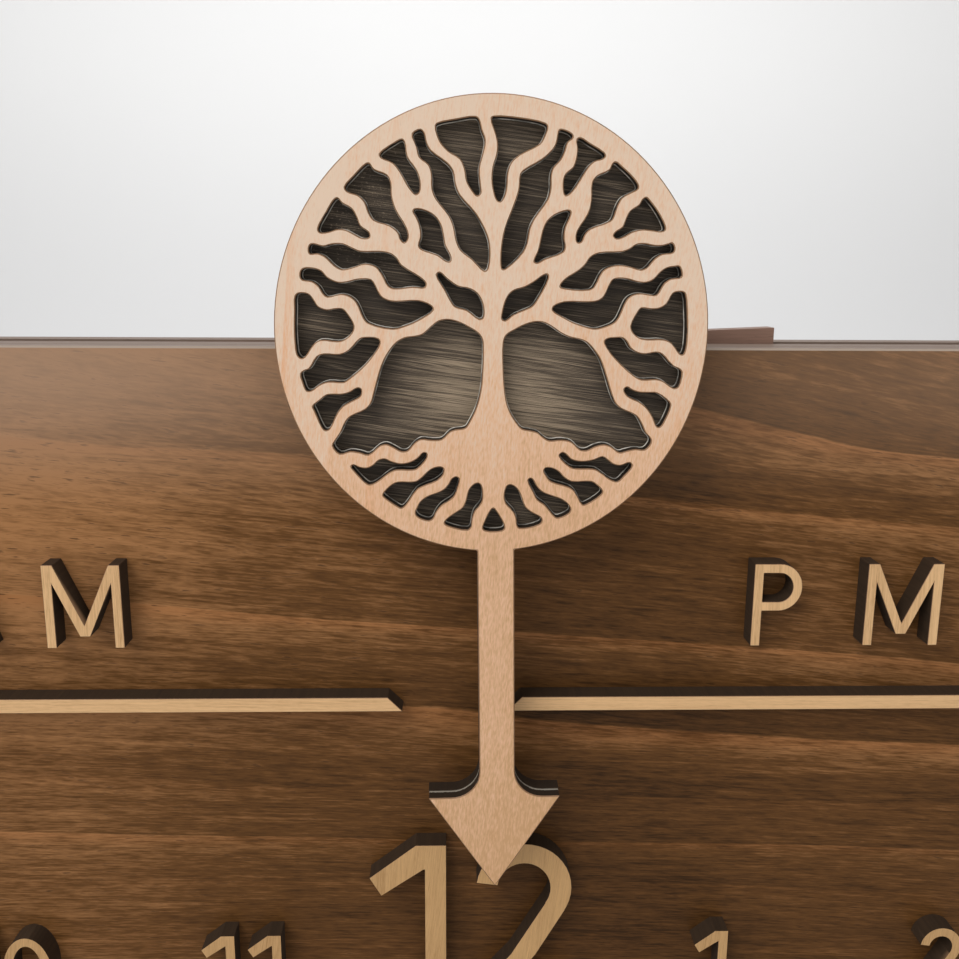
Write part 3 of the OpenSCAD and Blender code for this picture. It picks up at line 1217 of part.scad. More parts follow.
// Service hatch and what it carries
module hatch_cleats() {
  z = [hatch_base - cleat_margin / 4, hatch_base + hatch_h + cleat_margin / 4];
  color(walnut_edge) difference() {
    for (side = [-1, 1]) {
      near = side * (hatch_w / 2 - cleat_w / 2);
      far = side * (hatch_w / 2 + cleat_w / 2);
      slab([min(near, far), max(near, far)], [inner_back - cleat_t, inner_back], z);
    }
    hatch_screw_holes();
  }
}
hatch_screw_places = [
  for (side = [-1, 1]) for (z = [hatch_base + hatch_screw_inset, hatch_base + hatch_h - hatch_screw_inset])
    [side * (hatch_w / 2 - cleat_w / 4), z]
];
module hatch_screw_holes() {
  for (place = hatch_screw_places) round_y(place[0], place[1], [hatch_back - hatch_screw_l,
      hatch_back + over], m3_r);
}
module hatch_screws() {
  color(steel) for (place = hatch_screw_places) machine_screw(place[0], place[1], hatch_back,
      hatch_screw_l, -1);
}
module service_hatch() {
  color(black) difference() {
    slab([-hatch_w / 2, hatch_w / 2], [inner_back, hatch_back], [hatch_base, hatch_base + hatch_h]);
    hatch_screw_holes();
    board_screw_holes();
    round_y(jack_x, jack_z, [inner_back - over, hatch_back + over], jack_r);
    for (x = button_xs) round_y(x, button_z, [inner_back - over, hatch_back + over], button_r);
  }
}
function board_corners(x, z, w, h) = [
  for (side = [-1, 1]) for (level = [-1, 1]) [x + side * (w / 2 - board_hole_inset),
      z + level * (h / 2 - board_hole_inset)]
];
board_places = concat(
  board_corners(control_x, board_z, control_w, control_h), board_corners(driver_x, driver_z,
      driver_w, driver_h)
);
module board_screw_holes() {
  for (place = board_places) round_y(place[0], place[1], [board_front - over, hatch_back + over], m3_r);
}
module board_standoffs() {
  color(brass) for (place = board_places) difference() {
    round_y(place[0], place[1], [board_back, inner_back], standoff_r);
    round_y(place[0], place[1], [board_back - over, inner_back + over], m3_r);
  }
}
module board_screws() {
  color(steel) for (place = board_places) {
    machine_screw(place[0], place[1], board_front, board_screw_l, 1);
    difference() {
      round_y(place[0], place[1], [board_front + board_screw_l + side_gap, hatch_back], m3_r);
      hex_y(place[0], place[1], [hatch_back - over, hatch_back + over], m3_r * 0.6);
    }
  }
}
module circuit_board(x, z, w, h) {
  difference() {
    slab([x - w / 2, x + w / 2], [board_front, board_back], [z - h / 2, z + h / 2]);
    for (place = board_corners(x, z, w, h)) round_y(place[0], place[1], [board_front - over,
        board_back + over], m3_r);
  }
}
module control_board() {
  left = control_x - control_w / 2;
  color(board_green) circuit_board(control_x, board_z, control_w, control_h);
  color(black) slab([control_x - chip_w / 2, control_x + chip_w / 2], [board_front - chip_t, board_front],
    [board_z - chip_w / 2, board_z + chip_w / 2]);
  color(steel) round_y(left + battery_r + board_hole_inset, board_z, [board_front - battery_t,
      board_front], battery_r);
  color(board_green) slab([control_x - terminal_w / 2, control_x + terminal_w / 2],
    [board_front - terminal_t, board_front],
    [board_z + control_h / 2 - terminal_h - over, board_z + control_h / 2 - over]);
}
module driver_board() {
  color(board_green) circuit_board(driver_x, driver_z, driver_w, driver_h);
  color(black) slab([driver_x - chip_w / 2, driver_x + chip_w / 2], [board_front - chip_t, board_front],
    [driver_z, driver_z + chip_w / 2]);
  color("white") slab([driver_x - plug_w / 2, driver_x + plug_w / 2], [board_front - plug_t, board_front],
    [cable_z - plug_h / 2, cable_z + plug_h / 2]);
}
module power_jack() {
  color(black) difference() {
    union() {
      round_y(jack_x, jack_z, [hatch_back - jack_body_l, hatch_back], jack_r);
      round_y(jack_x, jack_z, [hatch_back, hatch_back + jack_flange_t], jack_flange_r);
    }
    round_y(jack_x, jack_z, [hatch_back + jack_flange_t - socket_depth,
        hatch_back + jack_flange_t + over], socket_r);
  }
}
module jack_nut() {
  color(steel) difference() {
    hex_y(jack_x, jack_z, [inner_back - jack_nut_t, inner_back], jack_nut_r);
    round_y(jack_x, jack_z, [inner_back - jack_nut_t - over, inner_back + over], jack_r);
  }
}
cap_low = hatch_back + button_flange_t + cap_out - cap_l;
module button_bodies() {
  color(steel) for (x = button_xs) {
    difference() {
      union() {
        round_y(x, button_z, [hatch_back - button_body_l, hatch_back], button_r);
        round_y(x, button_z, [hatch_back, hatch_back + button_flange_t], button_flange_r);
      }
      round_y(x, button_z, [cap_low - button_travel - side_gap, hatch_back + button_flange_t + over],
          cap_r + cap_gap);
    }
    difference() {
      hex_y(x, button_z, [inner_back - button_nut_t, inner_back], button_nut_r);
      round_y(x, button_z, [inner_back - button_nut_t - over, inner_back + over], button_r);
    }
  }
}
module button_cap(x) {
  round_y(x, button_z, [cap_low, cap_low + cap_l], cap_r);
}
module forward_button() {
  color("firebrick") button_cap(button_xs[0]);
}
module back_button() {
  color(black) button_cap(button_xs[1]);
}

// Motor cable: down from the motor, along the dial board and back to the driver board's plug
module cable_elbow(x, d, z, turn) {
  translate([x, front_y + d, z]) rotate(turn) rotate_extrude(angle = 90) translate([cable_bend,
      0]) circle(cable_r);
}
cable_low_x = driver_x + cable_bend;
cable_high_x = cable_down_x - cable_bend;
module motor_cable() {
  color(black) {
    round_z(cable_down_x, cable_depth, [cable_z + cable_bend, cable_up_z], cable_r);
    cable_elbow(cable_high_x, cable_depth, cable_z + cable_bend, [-90, 0, 0]);
    round_x([cable_low_x, cable_high_x], cable_depth, cable_z, cable_r);
    cable_elbow(cable_low_x, cable_depth + cable_bend, cable_z, [0, 0, 180]);
    round_y(driver_x, cable_z, [cable_depth + cable_bend, board_front - plug_t], cable_r);
  }
}
module cable_clips() {
  color("white") for (share = clip_shares) {
    x = cable_low_x + share * (cable_high_x - cable_low_x);
    difference() {
      slab([x - clip_w / 2, x + clip_w / 2], [board_t, cable_depth + cable_r + clip_wall],
        [cable_z - cable_r - clip_wall, cable_z + cable_r + clip_wall]);
      round_x([x - clip_w, x + clip_w], cable_depth, cable_z, cable_r);
    }
  }
}

front_board();
top_rail();
rear_top_rail();
bottom_rail();
left_end_cap();
right_end_cap();
back_panel();
back_screws();
numeral_noon();
numerals_morning();
numerals_afternoon();
label_am();
label_pm();
divider_left();
divider_right();
hanger_plates();
hanger_screws();
wall_bumpers();
service_hatch();
hatch_cleats();
hatch_screws();
power_jack();
jack_nut();
button_bodies();
forward_button();
back_button();
control_board();
driver_board();
board_standoffs();
board_screws();
rod_upper();
rod_lower();
left_rod_block();
right_rod_block();
rod_block_screws();
motor_bracket();
motor_body();
motor_shaft();
motor_screws();
bracket_screws();
drive_pulley();
pulley_set_screw();
drive_belt();
idler_bracket();
idler_axle();
idler_bearings();
idler_pulley();
motor_cable();
cable_clips();
home_sensor();
slider_plate();
plate_screws();
bearing_block();
linear_bearings();
belt_clamp();
belt_clamp_screws();
pointer_arm();
arm_screws();
pointer_backing();
pointer_face();
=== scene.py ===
"""Looks of the linear clock: walnut case, maple numerals and a pierced tree-of-life pointer."""

import json
import math
from collections import namedtuple

import bmesh
import bpy
from bpy.props import FloatProperty, FloatVectorProperty, IntProperty, PointerProperty
from bpy.types import Operator, Panel, PropertyGroup
from mathutils import Matrix, Vector

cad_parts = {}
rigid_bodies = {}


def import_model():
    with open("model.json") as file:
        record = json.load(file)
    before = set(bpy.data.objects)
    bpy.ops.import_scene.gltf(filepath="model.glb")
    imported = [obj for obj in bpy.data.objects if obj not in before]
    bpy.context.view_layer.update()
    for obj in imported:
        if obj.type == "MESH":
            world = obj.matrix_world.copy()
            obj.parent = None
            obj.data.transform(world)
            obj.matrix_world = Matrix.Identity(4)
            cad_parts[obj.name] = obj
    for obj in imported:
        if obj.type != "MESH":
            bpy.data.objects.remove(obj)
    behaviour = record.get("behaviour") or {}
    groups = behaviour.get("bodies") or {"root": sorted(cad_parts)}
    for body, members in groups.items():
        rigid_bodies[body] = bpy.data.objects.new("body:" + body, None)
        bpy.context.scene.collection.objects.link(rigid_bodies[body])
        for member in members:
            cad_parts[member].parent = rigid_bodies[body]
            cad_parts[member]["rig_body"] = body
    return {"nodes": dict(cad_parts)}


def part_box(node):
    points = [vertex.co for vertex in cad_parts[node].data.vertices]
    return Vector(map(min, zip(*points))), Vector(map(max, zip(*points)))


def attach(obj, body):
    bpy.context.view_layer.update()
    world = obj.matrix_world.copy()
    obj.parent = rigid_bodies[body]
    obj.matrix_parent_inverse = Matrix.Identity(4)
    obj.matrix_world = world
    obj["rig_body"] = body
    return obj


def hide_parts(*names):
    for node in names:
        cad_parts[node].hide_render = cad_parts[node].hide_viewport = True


bl_info = {
    "name": "Linear Clock Looks",
    "version": (1, 0, 0),
    "blender": (4, 5, 0),
    "location": "View3D > Sidebar > Linear Clock",
    "description": "Dresses the linear clock: woods, charred edges, metals, belt teeth and a studio",
    "category": "Object",
}

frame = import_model()

# Fronts of the laser cut sheets, towards -Y, and the foot of the pointer's face
FACE_FRONT, FACE_FOOT = (corner.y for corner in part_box("pointer_face"))
BACKING_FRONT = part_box("pointer_backing")[0].y
NUMERAL_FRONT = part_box("numeral_noon")[0].y

MERGE_DISTANCE = 2e-6
FLAT_ANGLE = math.radians(0.6)
SHARP_ANGLE = math.radians(40)
DUST = (0.30, 0.28, 0.25)
METAL_DUST = (0.42, 0.39, 0.35)

# How a wood is grown: lengths in metres, the slant and its changes as in WalnutLooks
Grain = namedtuple(
    "Grain", "seed band_height band_length waviness fleck_length fleck_width slant fan bow spread offset",
    defaults=(0.0,) * 5,
)
# How much each part of the grain changes the wood's tone
Shares = namedtuple("Shares", "bands steps lines streaks blotches flecks pores clouds")


# ---------------------------------------------------------------- sizes and colours

def colour(name, text, default):
    return FloatVectorProperty(
        name=name, description=text, subtype="COLOR", size=3, min=0, max=1, default=default
    )


def length(name, text, default, low=0.0, high=1.0):
    return FloatProperty(
        name=name, description=text, subtype="DISTANCE", unit="LENGTH",
        default=default, min=low, max=high, precision=5
    )


def share(name, text, default, low=0.0, high=1.0):
    return FloatProperty(name=name, description=text, default=default, min=low, max=high)


class WalnutLooks(PropertyGroup):
    dark: colour("Late wood", "Darkest lines of the walnut", (0.042, 0.0180, 0.0050))
    middle: colour("Heartwood", "Main tone of the walnut", (0.138, 0.059, 0.0165))
    light: colour("Early wood", "Palest streaks of the walnut", (0.380, 0.180, 0.070))
    # Painted sheen: a grey tone that stands for the light glancing off the top of the dial board
    haze: colour("Grey tone", "Greyer tone near the dial board's top edge", (0.400, 0.265, 0.180))
    band: colour("Edge tone", "Tone of the case's top band", (0.215, 0.155, 0.122))
    plate: colour("Plate tone", "Redder walnut of the slider plate", (0.280, 0.165, 0.120))
    figure_height: length("Figure height", "Distance between two lines of the figure", 0.0145)
    main_line: length("Main line", "Height of the figure's crispest line in the middle of the board", 0.1775)
    figure_start: IntProperty(
        name="Figure start", description="Which line of the figure is the crispest one", default=7
    )
    figure_length: length("Figure length", "How far the figure runs before it wanders", 0.16)
    slant: share("Figure slant", "Fall of the figure towards the right, per length", 0.016)
    bow: share("Figure bow", "How much steeper the figure falls per metre to the right", 0.105)
    fan: share("Figure fan", "How much steeper the figure falls per metre of height", 0.35, 0, 2)
    spread: share("Figure spread", "How much the lines part towards the top, per metre", 1.2, 0, 2)
    arris: length("Arris", "Width of the eased edges of the case", 0.0005)
    arris_tone: colour("Arris tone", "Paler rubbed edge of the dial board", (0.360, 0.285, 0.228))


class MapleLooks(PropertyGroup):
    face: colour("Pointer face", "Maple of the pierced face", (0.795, 0.488, 0.300))
    cream: colour("Pale maple", "Palest figure of the pointer's face", (0.820, 0.620, 0.465))
    numeral: colour("Numerals", "Maple of the raised numerals", (0.545, 0.325, 0.140))
    label: colour("Labels", "Maple of the labels and dividers", (0.720, 0.450, 0.222))
    char: colour("Char", "Laser burnt side walls", (0.029, 0.0160, 0.0075))
    scorch: colour("Scorch", "Thin brown line where a face meets its burnt wall", (0.300, 0.165, 0.085))
    # Painted highlight: this pale tone is the unburnt wood behind the burn, painted paler to stand for the highlight
    # along the window walls
    raw: colour("Raw edge", "Pale line behind the burnt part of an edge", (0.350, 0.315, 0.260))
    backing: colour("Backing", "Dark backing layer", (0.075, 0.054, 0.036))
    backing_streak: colour("Backing streaks", "Paler streaks of the backing", (0.370, 0.282, 0.190))
    char_depth: length("Char depth", "How far the burn reaches behind the face", 0.0031)
    edge: length("Eased edge", "Width of the eased edges of the numerals", 0.00012)
    burn: length("Burnt edge", "Width of the scorched line round the pointer's face", 0.00026)
    seam: length("Glue seam", "How far the glue stands out from the walls of the windows", 0.00016)
    seam_height: length("Glue seam height", "Height of the glue seam on the walls", 0.00056)
    seam_gap: length("Glue seam gap", "Distance of the glue seam from the backing", 0.00055)
    seam_tone: colour("Glue tone", "Dried glue", (0.780, 0.730, 0.640))


class FittingLooks(PropertyGroup):
    zinc: colour("Zinc", "Zinc plated steel", (0.560, 0.565, 0.580))
    rod: colour("Ground steel", "Ground guide rods and bearings", (0.640, 0.650, 0.665))
    alloy: colour("Aluminium", "Turned aluminium", (0.700, 0.705, 0.715))
    brass: colour("Brass", "Turned brass", (0.620, 0.430, 0.170))
    black: colour("Black plastic", "Moulded black plastic", (0.022, 0.022, 0.024))
    printed: colour("Printed plastic", "Printed plastic with fine layers", (0.040, 0.040, 0.043))
    white: colour("White plastic", "Moulded white plastic", (0.720, 0.720, 0.700))
    red: colour("Red cap", "Cap of the forward button", (0.430, 0.016, 0.012))
    rubber: colour("Rubber", "Belt and bumpers", (0.018, 0.018, 0.018))
    board: colour("Circuit board", "Lacquer of the circuit boards", (0.010, 0.090, 0.040))
    trace: colour("Copper track", "Tracks under the lacquer", (0.030, 0.190, 0.085))
    layer: length("Print layer", "Layer height of printed plastic", 0.0002)
    tooth_pitch: length("Tooth pitch", "Distance between two teeth of the belt", 0.002)
    tooth_height: length("Tooth height", "Height of a belt tooth", 0.00075)
    tooth_width: length("Tooth width", "Width of a belt tooth", 0.0011)
    band_thickness: length("Belt thickness", "Thickness of the belt between its teeth", 0.0006)


class StudioLooks(PropertyGroup):
    camera_place: FloatVectorProperty(
        name="Camera", description="Place of the camera", subtype="TRANSLATION", size=3,
        default=(-0.00646, -0.274, 0.2281)
    )
    pitch: FloatProperty(name="Pitch", description="Fall of the view", subtype="ANGLE", default=0.2116)
    yaw: FloatProperty(name="Yaw", description="Turn of the view", subtype="ANGLE", default=0.0256)
    roll: FloatProperty(name="Roll", description="Roll of the view", subtype="ANGLE", default=0.0059)
    focal_pixels: FloatProperty(name="Focal length", description="Focal length in pixels", default=1000)
    picture_pixels: IntProperty(name="Picture", description="Width of the picture in pixels", default=959)
    paper: colour("Paper", "Backdrop", (0.83, 0.83, 0.83))
    # Painted shade: the floor is darker than the backdrop wall
    floor: colour("Floor", "Floor", (0.70, 0.70, 0.705))
    key: share("Key light", "Power of the light above on the left", 3.75, 0, 100)
    fill: share("Fill light", "Power of the light in front", 0.5, 0, 100)
    wash: share("Backdrop light", "Power of the light on the backdrop", 75.0, 0, 400)
    sky: share("Sky", "Strength of the light from all round", 0.33, 0, 5)
    # Painted light: the far floor glows though it is no lamp
    glow: share("Floor glow", "How bright the floor is far in front of the clock", 0.6)


# ---------------------------------------------------------------- shader helpers

def toned(paint, share):
    """A colour made darker or paler."""
    return [min(1, part * share) for part in paint]


def feed(tree, socket, value):
    """Links a socket to value where that is a socket too, or else sets it."""
    if isinstance(value, bpy.types.NodeSocket):
        tree.links.new(value, socket)
    else:
        socket.default_value = value


def put(tree, kind, settings=None, **inputs):
    """Adds a node; settings are its own properties, inputs its sockets by name or as i0, i1, i2."""
    made = tree.nodes.new(kind)
    for key, value in (settings or {}).items():
        setattr(made, key, value)
    for key, value in inputs.items():
        numbered = key[0] == "i" and key[1:].isdigit()
        feed(tree, made.inputs[int(key[1:]) if numbered else key.replace("_", " ")], value)
    return made


def maths(tree, operation, *values, clamp=False):
    made = put(tree, "ShaderNodeMath", {"operation": operation, "use_clamp": clamp})
    for socket, value in zip(made.inputs, values):
        feed(tree, socket, value)
    return made.outputs[0]


def plus(tree, total, *others, clamp=False):
    for other in others:
        total = maths(tree, "ADD", total, other, clamp=clamp)
    return total


def times(tree, product, *others, clamp=False):
    for other in others:
        product = maths(tree, "MULTIPLY", product, other, clamp=clamp)
    return product


def minus(tree, first, second):
    return maths(tree, "SUBTRACT", first, second)


def between(tree, value, low, high, to_low=0.0, to_high=1.0, smooth=True):
    """Maps value from low..high to to_low..to_high, held at both ends."""
    way = "SMOOTHSTEP" if smooth else "LINEAR"
    made = put(tree, "ShaderNodeMapRange", {"interpolation_type": way, "clamp": True})
    for socket, part in zip(made.inputs, (value, low, high, to_low, to_high)):
        feed(tree, socket, part)
    return made.outputs[0]


def blend_colours(tree, factor, first, second, mode="MIX"):
    made = put(tree, "ShaderNodeMix", {"data_type": "RGBA", "blend_type": mode}, i0=factor)
    for index, value in ((6, first), (7, second)):
        linked = isinstance(value, bpy.types.NodeSocket)
        feed(tree, made.inputs[index], value if linked else (*value[:3], 1))
    return made.outputs[2]


def noise(tree, vector, scale, detail=2.0, rough=0.5, twist=0.0):
    return put(
        tree, "ShaderNodeTexNoise", {"noise_dimensions": "3D"},
        Vector=vector, Scale=scale, Detail=detail, Roughness=rough, Distortion=twist,
    ).outputs["Fac"]


def axes(tree, vector):
    """The X, Y and Z of a vector."""
    return put(tree, "ShaderNodeSeparateXYZ", i0=vector).outputs


def scaled(tree, vector, x, y, z, seed=0.0):
    """vector divided by three lengths, moved by a seed."""
    made = put(tree, "ShaderNodeCombineXYZ")
    for part, size, socket in zip(axes(tree, vector), (x, y, z), made.inputs):
        feed(tree, socket, plus(tree, maths(tree, "DIVIDE", part, size), seed))
    return made.outputs[0]


def shader_group(name, inputs, outputs):
    """A new shader node group with its input and output sockets; an input without a default is a vector."""
    group = bpy.data.node_groups.new(name, "ShaderNodeTree")
    for label, default in inputs.items():
        kind = "NodeSocketVector" if default is None else "NodeSocketFloat"
        socket = group.interface.new_socket(name=label, in_out="INPUT", socket_type=kind)
        if default is not None:
            socket.default_value = default
    for label in outputs:
        group.interface.new_socket(name=label, in_out="OUTPUT", socket_type="NodeSocketFloat")
    return group, group.nodes.new("NodeGroupInput").outputs, group.nodes.new("NodeGroupOutput").inputs


def put_group(tree, name, make, **inputs):
    """Places a shared node group, which is made when it is first asked for."""
    group = bpy.data.node_groups.get(name) or make()
    return put(tree, "ShaderNodeGroup", {"node_tree": group}, **inputs).outputs


def make_wood_group():
    """Grain of a board whose fibres run along X: growth bands, fine streaks, flecks, pores and clouds."""
    group, start, end = shader_group(
        "wood_grain",
        {"Vector": None, "Slant": 0.0, "Fan": 0.0, "Bow": 0.0, "Spread": 0.0, "Offset": 0.0, "Band Height": 0.01,
         "Band Length": 0.15, "Waviness": 1.4, "Fleck Length": 0.004, "Fleck Width": 0.0004, "Seed": 0.0},
        ("Bands", "Steps", "Lines", "Streaks", "Blotches", "Flecks", "Pores", "Clouds"),
    )

    def of_step(value):
        """A chance number that stays the same over each whole step of value."""
        step = maths(group, "FLOOR", value)
        return put(group, "ShaderNodeTexWhiteNoise", {"noise_dimensions": "1D"}, W=step).outputs["Value"]

    tall, far, seed = start["Band Height"], start["Band Length"], start["Seed"]
    x, y, z = axes(group, start["Vector"])

    # The growth rings' height at each place: it leans, fans out and bows along the board
    slope = plus(group, start["Slant"], times(group, z, start["Fan"]))
    slope = plus(group, slope, times(group, x, start["Bow"]))
    across = plus(group, z, times(group, x, slope))
    across = plus(group, across, times(group, y, 0.6))
    across = minus(group, across, times(group, z, z, start["Spread"]))
    slow = scaled(group, start["Vector"], far, tall, tall, seed)
    wander = minus(group, noise(group, slow, 0.30, 3.0, 0.45), 0.5)
    line = maths(group, "DIVIDE", across, tall)
    line = plus(group, line, times(group, wander, start["Waviness"], 5.0))
    line = plus(group, line, start["Offset"])

    # Each band darkens slowly and ends at a crisp edge
    saw = maths(group, "FRACT", line)
    rise = maths(group, "POWER", saw, 1.7)
    drop = between(group, saw, 0.968, 1.0)
    feed(group, end["Bands"], times(group, rise, minus(group, 1.0, drop)))
    feed(group, end["Steps"], of_step(line))

    # Thinner lines between the bands, each with its own strength
    second = plus(group, times(group, line, 2.63), 0.37)
    thin = maths(group, "FRACT", second)
    crest = times(group, maths(group, "POWER", thin, 2.6), between(group, thin, 1.0, 0.93))
    feed(group, end["Lines"], times(group, crest, of_step(second)))

    # Streaks and fibres follow the bands
    fine = put(
        group, "ShaderNodeCombineXYZ",
        i0=plus(group, times(group, maths(group, "DIVIDE", x, far), 2.2), seed),
        i1=times(group, maths(group, "DIVIDE", y, tall), 4.0),
        i2=times(group, line, 5.0),
    ).outputs[0]
    coarse = noise(group, fine, 1.0, 5.0, 0.62, 0.2)
    thread = put(group, "ShaderNodeVectorMath", {"operation": "MULTIPLY"}, i0=fine, i1=(2.6, 3.0, 6.5)).outputs[0]
    fibres = between(group, noise(group, thread, 1.0, 3.0, 0.6), 0.28, 0.72)
    feed(group, end["Streaks"], plus(group, times(group, coarse, 0.6), times(group, fibres, 0.4)))

    # Blotches, flecks and the pores, which are the deepest flecks
    wide = start["Fleck Width"]
    turned = put(group, "ShaderNodeCombineXYZ", i0=x, i1=y, i2=across).outputs[0]
    flecks = noise(group, scaled(group, turned, start["Fleck Length"], wide, wide, seed), 1.0, 2.0, 0.5)
    blotch_length, blotch_height = times(group, far, 0.075), times(group, tall, 0.10)
    blotches = scaled(group, turned, blotch_length, blotch_height, blotch_height, seed)
    feed(group, end["Blotches"], noise(group, blotches, 1.0, 3.0, 0.6, 0.3))
    feed(group, end["Flecks"], flecks)
    feed(group, end["Pores"], between(group, flecks, 0.60, 0.74))
    feed(group, end["Clouds"], noise(group, slow, 0.16, 2.0, 0.5))
    return group


def make_char_group():
    """Where a laser has burnt the side walls of a sheet that is cut along Y."""
    group, start, end = shader_group(
        "laser_char", {"Vector": None, "Normal": None, "Front": 0.0, "Depth": 0.004},
        ("Wall", "Char", "Glue", "Scorch", "Ripple"),
    )
    soft = 0.0002
    flat = maths(group, "ABSOLUTE", axes(group, start["Normal"])[1])
    wall = between(group, flat, 0.60, 0.35)
    behind = minus(group, axes(group, start["Vector"])[1], start["Front"])
    ripple = noise(group, scaled(group, start["Vector"], 0.0009, 0.02, 0.0009), 1.0, 2.0, 0.5)
    limit = times(group, start["Depth"], plus(group, 0.86, times(group, ripple, 0.28)))
    char = between(group, minus(group, limit, behind), -soft / 2, soft)
    # The band at the back of each wall: a glue line, painted dark also as the shade next to the backing
    glue = between(group, minus(group, behind, times(group, start["Depth"], 1.17)), 0.0, soft)
    feed(group, end["Scorch"], between(group, flat, 0.97, 0.80))
    feed(group, end["Wall"], wall)
    feed(group, end["Char"], times(group, wall, char))
    feed(group, end["Glue"], times(group, wall, glue))
    feed(group, end["Ripple"], ripple)
    return group


def make_use_group():
    """Handling: soft smudges, fine scratches and dust that gathers on what faces up."""
    group, start, end = shader_group(
        "light_use", {"Vector": None, "Normal": None, "Size": 0.02, "Rough": 0.4, "Spread": 0.12, "Dust": 0.1},
        ("Roughness", "Dust", "Grit"),
    )
    size = start["Size"]
    space = scaled(group, start["Vector"], size, size, size)
    smudge = noise(group, space, 1.0, 4.0, 0.6)
    grit = noise(group, space, 22.0, 2.0, 0.5)
    swing = times(group, minus(group, smudge, 0.5), start["Spread"])
    feed(group, end["Roughness"], plus(group, start["Rough"], times(group, swing, 2.0), clamp=True))
    up = between(group, axes(group, start["Normal"])[2], 0.4, 1.0)
    settled = times(group, up, start["Dust"])
    feed(group, end["Dust"], times(group, settled, between(group, grit, 0.3, 0.8), clamp=True))
    feed(group, end["Grit"], grit)
    return group


def new_material(name, **constants):
    """A material with a Principled shader, its object coordinates and object normal."""
    made = bpy.data.materials.new(name)
    made.use_nodes = True
    tree = made.node_tree
    tree.nodes.clear()
    out = tree.nodes.new("ShaderNodeOutputMaterial")
    shader = tree.nodes.new("ShaderNodeBsdfPrincipled")
    tree.links.new(shader.outputs[0], out.inputs[0])
    for key, value in constants.items():
        shader.inputs[key.replace("_", " ")].default_value = value
    place = tree.nodes.new("ShaderNodeTexCoord")
    return made, tree, shader, place.outputs["Object"], place.outputs["Normal"]


def light_use(tree, place, normal, size, rough, spread, dust):
    """The marks of handling; size is how wide a smudge is."""
    return put_group(
        tree, "light_use", make_use_group, Vector=place, Normal=normal, Size=size, Rough=rough, Spread=spread,
        Dust=dust,
    )


def finish(tree, shader, paint, roughness, height, strength, distance):
    """Links a material's colour, roughness and fine relief to its shader."""
    relief = put(tree, "ShaderNodeBump", Strength=strength, Distance=distance, Height=height)
    feed(tree, shader.inputs["Base Color"], paint)
    feed(tree, shader.inputs["Roughness"], roughness)
    feed(tree, shader.inputs["Normal"], relief.outputs[0])


# ---------------------------------------------------------------- materials

